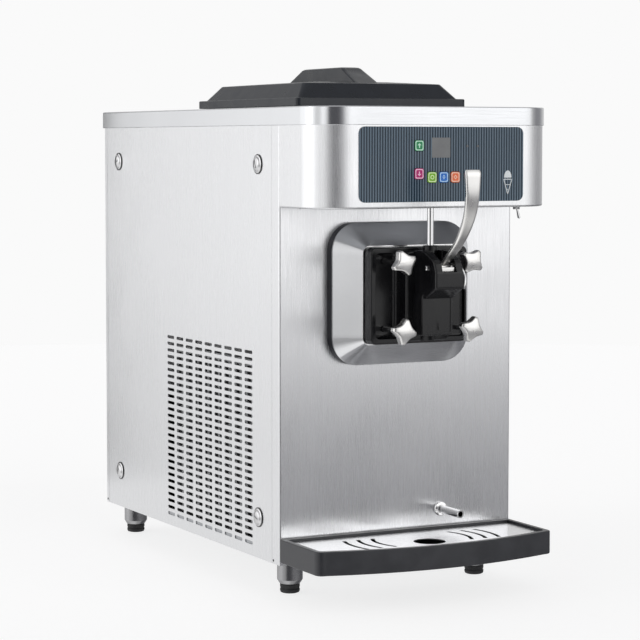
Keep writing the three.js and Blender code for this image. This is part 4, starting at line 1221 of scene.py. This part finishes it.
def knob_outline(turn):
    """Four blunt tips with hollow sides between them, turned by an angle."""
    corners = []
    for i in range(4):
        tip = i * math.pi / 2 - turn
        for radius, ahead in [(KNOB_TIP, -0.12), (KNOB_TIP, 0.12), (KNOB_VALLEY, math.pi / 4)]:
            corners.append((radius * math.cos(tip + ahead), radius * math.sin(tip + ahead)))
    return fillet(corners, [1.8, 1.8, 16] * 4, 8)


# The knob's share of its outline, and how far back its edge is rounded, from the stud side forwards.
KNOB_BACK = [(0.84, 16), (0.92, 15.7), (0.97, 14.8), (1.0, 13.4), (1.0, 6.5), (0.99, 5.2)]
KNOB_FACE = [(0.965, 1.0), (0.93, 0.5), (0.88, 0.18)]
KNOB_FACE += [(share, 0) for share in (0.8, 0.65, 0.45, 0.25, 0.08)]


def make_knobs():
    for name, turn in KNOB_TURNS.items():
        x, z = STUD_PLACES[name]
        low, high = local_box(f"knob_{name}")
        outline = knob_outline(turn)
        rings = []
        for share, depth in KNOB_BACK:
            rings.append([(x + share * u, low.y + depth, z + share * v) for u, v in outline])
        for share, depth in KNOB_FACE:
            ring = []
            for u, v in outline:
                fall = share**2 * (u * u + v * v) / (2 * KNOB_DOME)
                ring.append((x + share * u, low.y + depth + fall, z + share * v))
            rings.append(ring)
        body = f"{name}_knob"
        piece(f"{body}_star", loft(rings), SATIN_CHROME, body, [f"knob_{name}"], crease=60)
        start = low.y + 13
        end = high.y
        sleeve = [(4.4, start), (8, start), (8, end - 0.8), (7.2, end), (4.4, end), (4.4, start)]
        piece(f"{body}_sleeve", lathe(sleeve, (x, 0, z), "y", 40), DARK_CHROME, body)


# ------------------------------------------------------------------ tray, drain and feet
TRAY_CORNER, TRAY_BULGE, TRAY_SIDE, TRAY_WALL = -124.2, -180, -110, 8
HOLE_Y, HOLE_RADIUS = -97, 24
SLOT_RADII, SLOT_LENGTH, SLOT_WIDTH = (74, 96, 118), 76, 6


def bezier(start, control, end, steps):
    points = []
    for i in range(steps):
        t = i / steps
        pairs = zip(start, control, end)
        points.append(tuple((1 - t) ** 2 * a + 2 * t * (1 - t) * b + t**2 * c for a, b, c in pairs))
    return points


def tray_plan(inset, back):
    """The tray's outline from above: straight behind, bowed in front."""
    half = local_box("drip_tray")[1].x - inset
    corner, side = TRAY_CORNER + inset, TRAY_SIDE + inset * 0.6
    return [
        (half, back),
        (-half, back),
        *bezier((-half, side), (-half, corner), (14 - half, corner), 8),
        *bezier((14 - half, corner), (0, TRAY_BULGE + inset), (half - 14, corner), 40),
        *bezier((half - 14, corner), (half, corner), (half, side), 9),
    ]


def make_tray():
    low, high = local_box("drip_tray")
    ledge = local_box("drip_tray_grid")[0].z - 0.3
    shape = prism(tray_plan(0, high.y), "z", low.z, high.z)
    soften(shape, 1.6, 3, chosen=lambda p: p.z > high.z - 0.1 and p.y < high.y - 0.1)
    soften(shape, 2.5, 3, chosen=lambda p: p.z < low.z + 0.1 and p.y < high.y - 0.1)
    well = prism(tray_plan(TRAY_WALL, high.y - TRAY_WALL), "z", ledge, high.z + 5)
    basin = prism(tray_plan(TRAY_WALL + 6, high.y - TRAY_WALL - 6), "z", low.z + 4, high.z + 5)
    soften(basin, 5, 4, chosen=lambda p: p.z < low.z + 4.1)
    piece("tray_basin", cut(shape, well, basin), TRAY_BLACK, "tray", ["drip_tray"])


def arc_slot(middle_y, radius, side):
    """A slot of even width on an arc about (0, middle_y), centred on the angle side."""
    half = SLOT_LENGTH / 2 / radius
    angles = [side - half + 2 * half * i / 16 for i in range(17)]
    outer, inner = (
        [(r * math.cos(a), middle_y + r * math.sin(a)) for a in angles]
        for r in (radius + SLOT_WIDTH / 2, radius - SLOT_WIDTH / 2)
    )
    return outer + inner[::-1]


def make_grid():
    """The grid's sheet, with a hole for the last drops and three curved slots at each side."""
    low, high = local_box("drip_tray_grid")
    holes = [circle(0, HOLE_Y, HOLE_RADIUS, 56)]
    for side in (0, math.pi):
        holes += [arc_slot(HOLE_Y + 22, radius, side) for radius in SLOT_RADII]
    sheet = plate(tray_plan(TRAY_WALL + 0.6, high.y), holes, "z", low.z, high.z, lip=0.35)
    piece("tray_grid_sheet", sheet, GRID_STEEL, "grid", ["drip_tray_grid"])


def make_drain():
    low, high, middle = extent("drain_pipe")
    bore = 4
    pipe = [
        (bore, high.y), (6, high.y), (6, -0.4), (11, -0.4), (11, -2.6), (10.2, -3.6), (6.4, -4.0),
        (6, -4.4), (6, low.y + 0.6), (5.5, low.y), (4.4, low.y), (bore, low.y + 0.5), (bore, high.y),
    ]
    tube = lathe(pipe, (middle.x, 0, middle.z), "y", 48)
    piece("drain_tube", tube, CHROME, nodes=["drain_pipe"])


def make_feet():
    for place in ("front", "rear"):
        for side in SIDES:
            sleeve_low, sleeve_high, middle = extent(f"leg_sleeve_{place}_{side}")
            radius = sleeve_high.x - middle.x
            low, high = sleeve_low.z, sleeve_high.z
            profile = [
                (7, high), (radius, high), (radius, high - 3), (radius - 0.8, high - 3.6),
                (radius - 0.8, high - 5), (radius, high - 5.6), (radius, low + 7),
                (radius - 0.6, low + 5.6), (radius - 3.6, low + 0.8), (radius - 4.6, low),
                (7, low), (7, high),
            ]
            shape = lathe(profile, (middle.x, middle.y, 0), "z", 64)
            piece(f"{place}_{side}_leg_tube", shape, LEG_STEEL, nodes=[f"leg_sleeve_{place}_{side}"])
            make_pad(place, side, middle)


def make_pad(place, side, middle):
    low, high = local_box(f"leg_pad_{place}_{side}")
    radius = high.x - middle.x
    top = local_box(f"leg_sleeve_{place}_{side}")[0].z - 0.3
    profile = [
        (0, low.z), (radius - 3.4, low.z), (radius - 1, low.z + 1), (radius, low.z + 3.2),
        (radius, low.z + 6), (radius - 0.8, low.z + 6.8), (radius - 0.8, low.z + 8.2),
        (radius, low.z + 9), (radius, top - 0.8), (radius - 0.8, top), (6, top),
    ]
    thread_low = top + 1
    for i in range(int((high.z - thread_low) / 1.5)):
        z = thread_low + i * 1.5
        profile += [(6, z), (5.3, z + 0.75)]
    profile += [(5.3, high.z), (0, high.z)]
    shape = lathe(profile, (middle.x, middle.y, 0), "z", 48)
    foot = f"{place}_{side}_foot"
    piece(f"{foot}_pad", shape, RUBBER, foot, [f"leg_pad_{place}_{side}"])


# ------------------------------------------------------------------ hopper and lid
def make_lid():
    low, high, middle = extent("hopper_lid")
    half_x, half_y = high.x, middle.y - low.y
    bottom, ledge, top = low.z, low.z + 12.4, low.z + 35.4

    def ring(inset, z, radius):
        return [(u, v, z) for u, v in rectangle(0, middle.y, half_x - inset, half_y - inset, radius, 8)]

    shell = loft([
        ring(0.5, bottom, 7.5), ring(0, bottom + 0.6, 8), ring(0, ledge - 1.6, 8),
        ring(0.5, ledge - 0.5, 7.6), ring(1.6, ledge, 6.8), ring(9.4, ledge, 6.6),
        ring(10.1, ledge + 0.6, 7), ring(26.4, top - 1.2, 11.5), ring(27.2, top - 0.3, 11.6),
        ring(28.4, top + 0.1, 11.5), ring(85, top + 4, 12),
    ])
    hollow = loft([
        ring(3, bottom - 1, 6), ring(3, ledge - 3, 6), ring(13, ledge - 3, 6),
        ring(30, top - 3, 10), ring(88, top + 1, 10),
    ])

    def grip_ring(half_wide, start, end, rise):
        outline = rectangle(0, (start + end) / 2, half_wide, (end - start) / 2, 5, 8)
        return [(u, v, top + rise) for u, v in outline]

    grip = loft([
        grip_ring(21, 92, 342, -1), grip_ring(18.2, 143, 291, 22.6),
        grip_ring(17.4, 146.5, 287.5, 24.8), grip_ring(15.6, 151.5, 282.5, 26.5),
        grip_ring(13, 156, 278, 27),
    ])
    grip_hollow = loft([grip_ring(17.5, 104, 330, -6), grip_ring(14.5, 152, 282, 21)])
    lid = cut(join(shell, grip), join(hollow, grip_hollow))
    piece("lid_shell", lid, CHARCOAL, "lid", ["hopper_lid"], crease=30)


HOPPER_BOTTOM, HOPPER_FLANGE = 526, 24
FEED_Y = 120  # the feed tube's axis


def make_hopper():
    low, high, middle = extent("mix_hopper")
    flange, bottom, lip = HOPPER_FLANGE, HOPPER_BOTTOM, high.z
    half_x, half_y = high.x - flange, (high.y - low.y) / 2 - flange
    tank = prism(rectangle(0, middle.y, half_x, half_y, 20, 8), "z", bottom, lip)
    soften(tank, 7, 4, chosen=lambda p: p.z < bottom + 0.1)
    edge = prism(rectangle(0, middle.y, half_x + flange, half_y + flange, 12, 8), "z", lip - 2, lip)
    tube = prism(circle(0, FEED_Y, 12, 32), "z", low.z, bottom + 1)
    inside = prism(rectangle(0, middle.y, half_x - 2, half_y - 2, 18, 8), "z", bottom + 2, lip + 5)
    soften(inside, 6, 4, chosen=lambda p: p.z < bottom + 2.1)
    shape = join(tank, edge, tube)
    cut(shape, inside, prism(circle(0, FEED_Y, 9, 32), "z", low.z - 20, bottom + 5))
    piece("hopper_tank", shape, POLISHED_STEEL, nodes=["mix_hopper"])


# ------------------------------------------------------------------ inner works keep the CAD's shape
def finish_inner_works():
    finishes = {
        "chassis_frame": CHASSIS_AND_SHADE_STEEL,
        "control_board": BOARD_GREEN,
        "door_gasket": RUBBER,
        "freezing_cylinder": POLISHED_STEEL,
        "beater": POLISHED_STEEL,
        "gearbox": ALUMINIUM,
        "driven_pulley": ALUMINIUM,
        "motor_pulley": ALUMINIUM,
        "drive_belt": RUBBER,
        "beater_motor": BLACK_PAINT,
        "compressor": BLACK_PAINT,
        "condenser": ALUMINIUM,
        "cooling_fan": BLACK,
        "fan_motor": ALUMINIUM,
        "cord_gland": BLACK,
    }
    for node, material in finishes.items():
        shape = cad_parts[node]
        shape.data.materials.clear()
        shape.data.materials.append(material)


# ------------------------------------------------------------------ the whole scene
set_up_camera()
lay_floor()
light_studio()
add_black_card("rear_flag", -440, 150, 1250, 850)
make_side_panels()
make_fasteners()
make_front_panel()
make_rear_panel()
make_corner_rivets()
make_head_fascia()
make_power_switch()
make_top_cover()
make_control_panel()
make_keys()
make_bezel()
make_bezel_lip()
make_door()
make_nozzle_cap()
make_lever()
make_lever_pin()
make_valve()
make_knobs()
make_tray()
make_grid()
make_drain()
make_feet()
make_lid()
make_hopper()
finish_inner_works()

bpy.context.scene.view_settings.view_transform = "Standard"
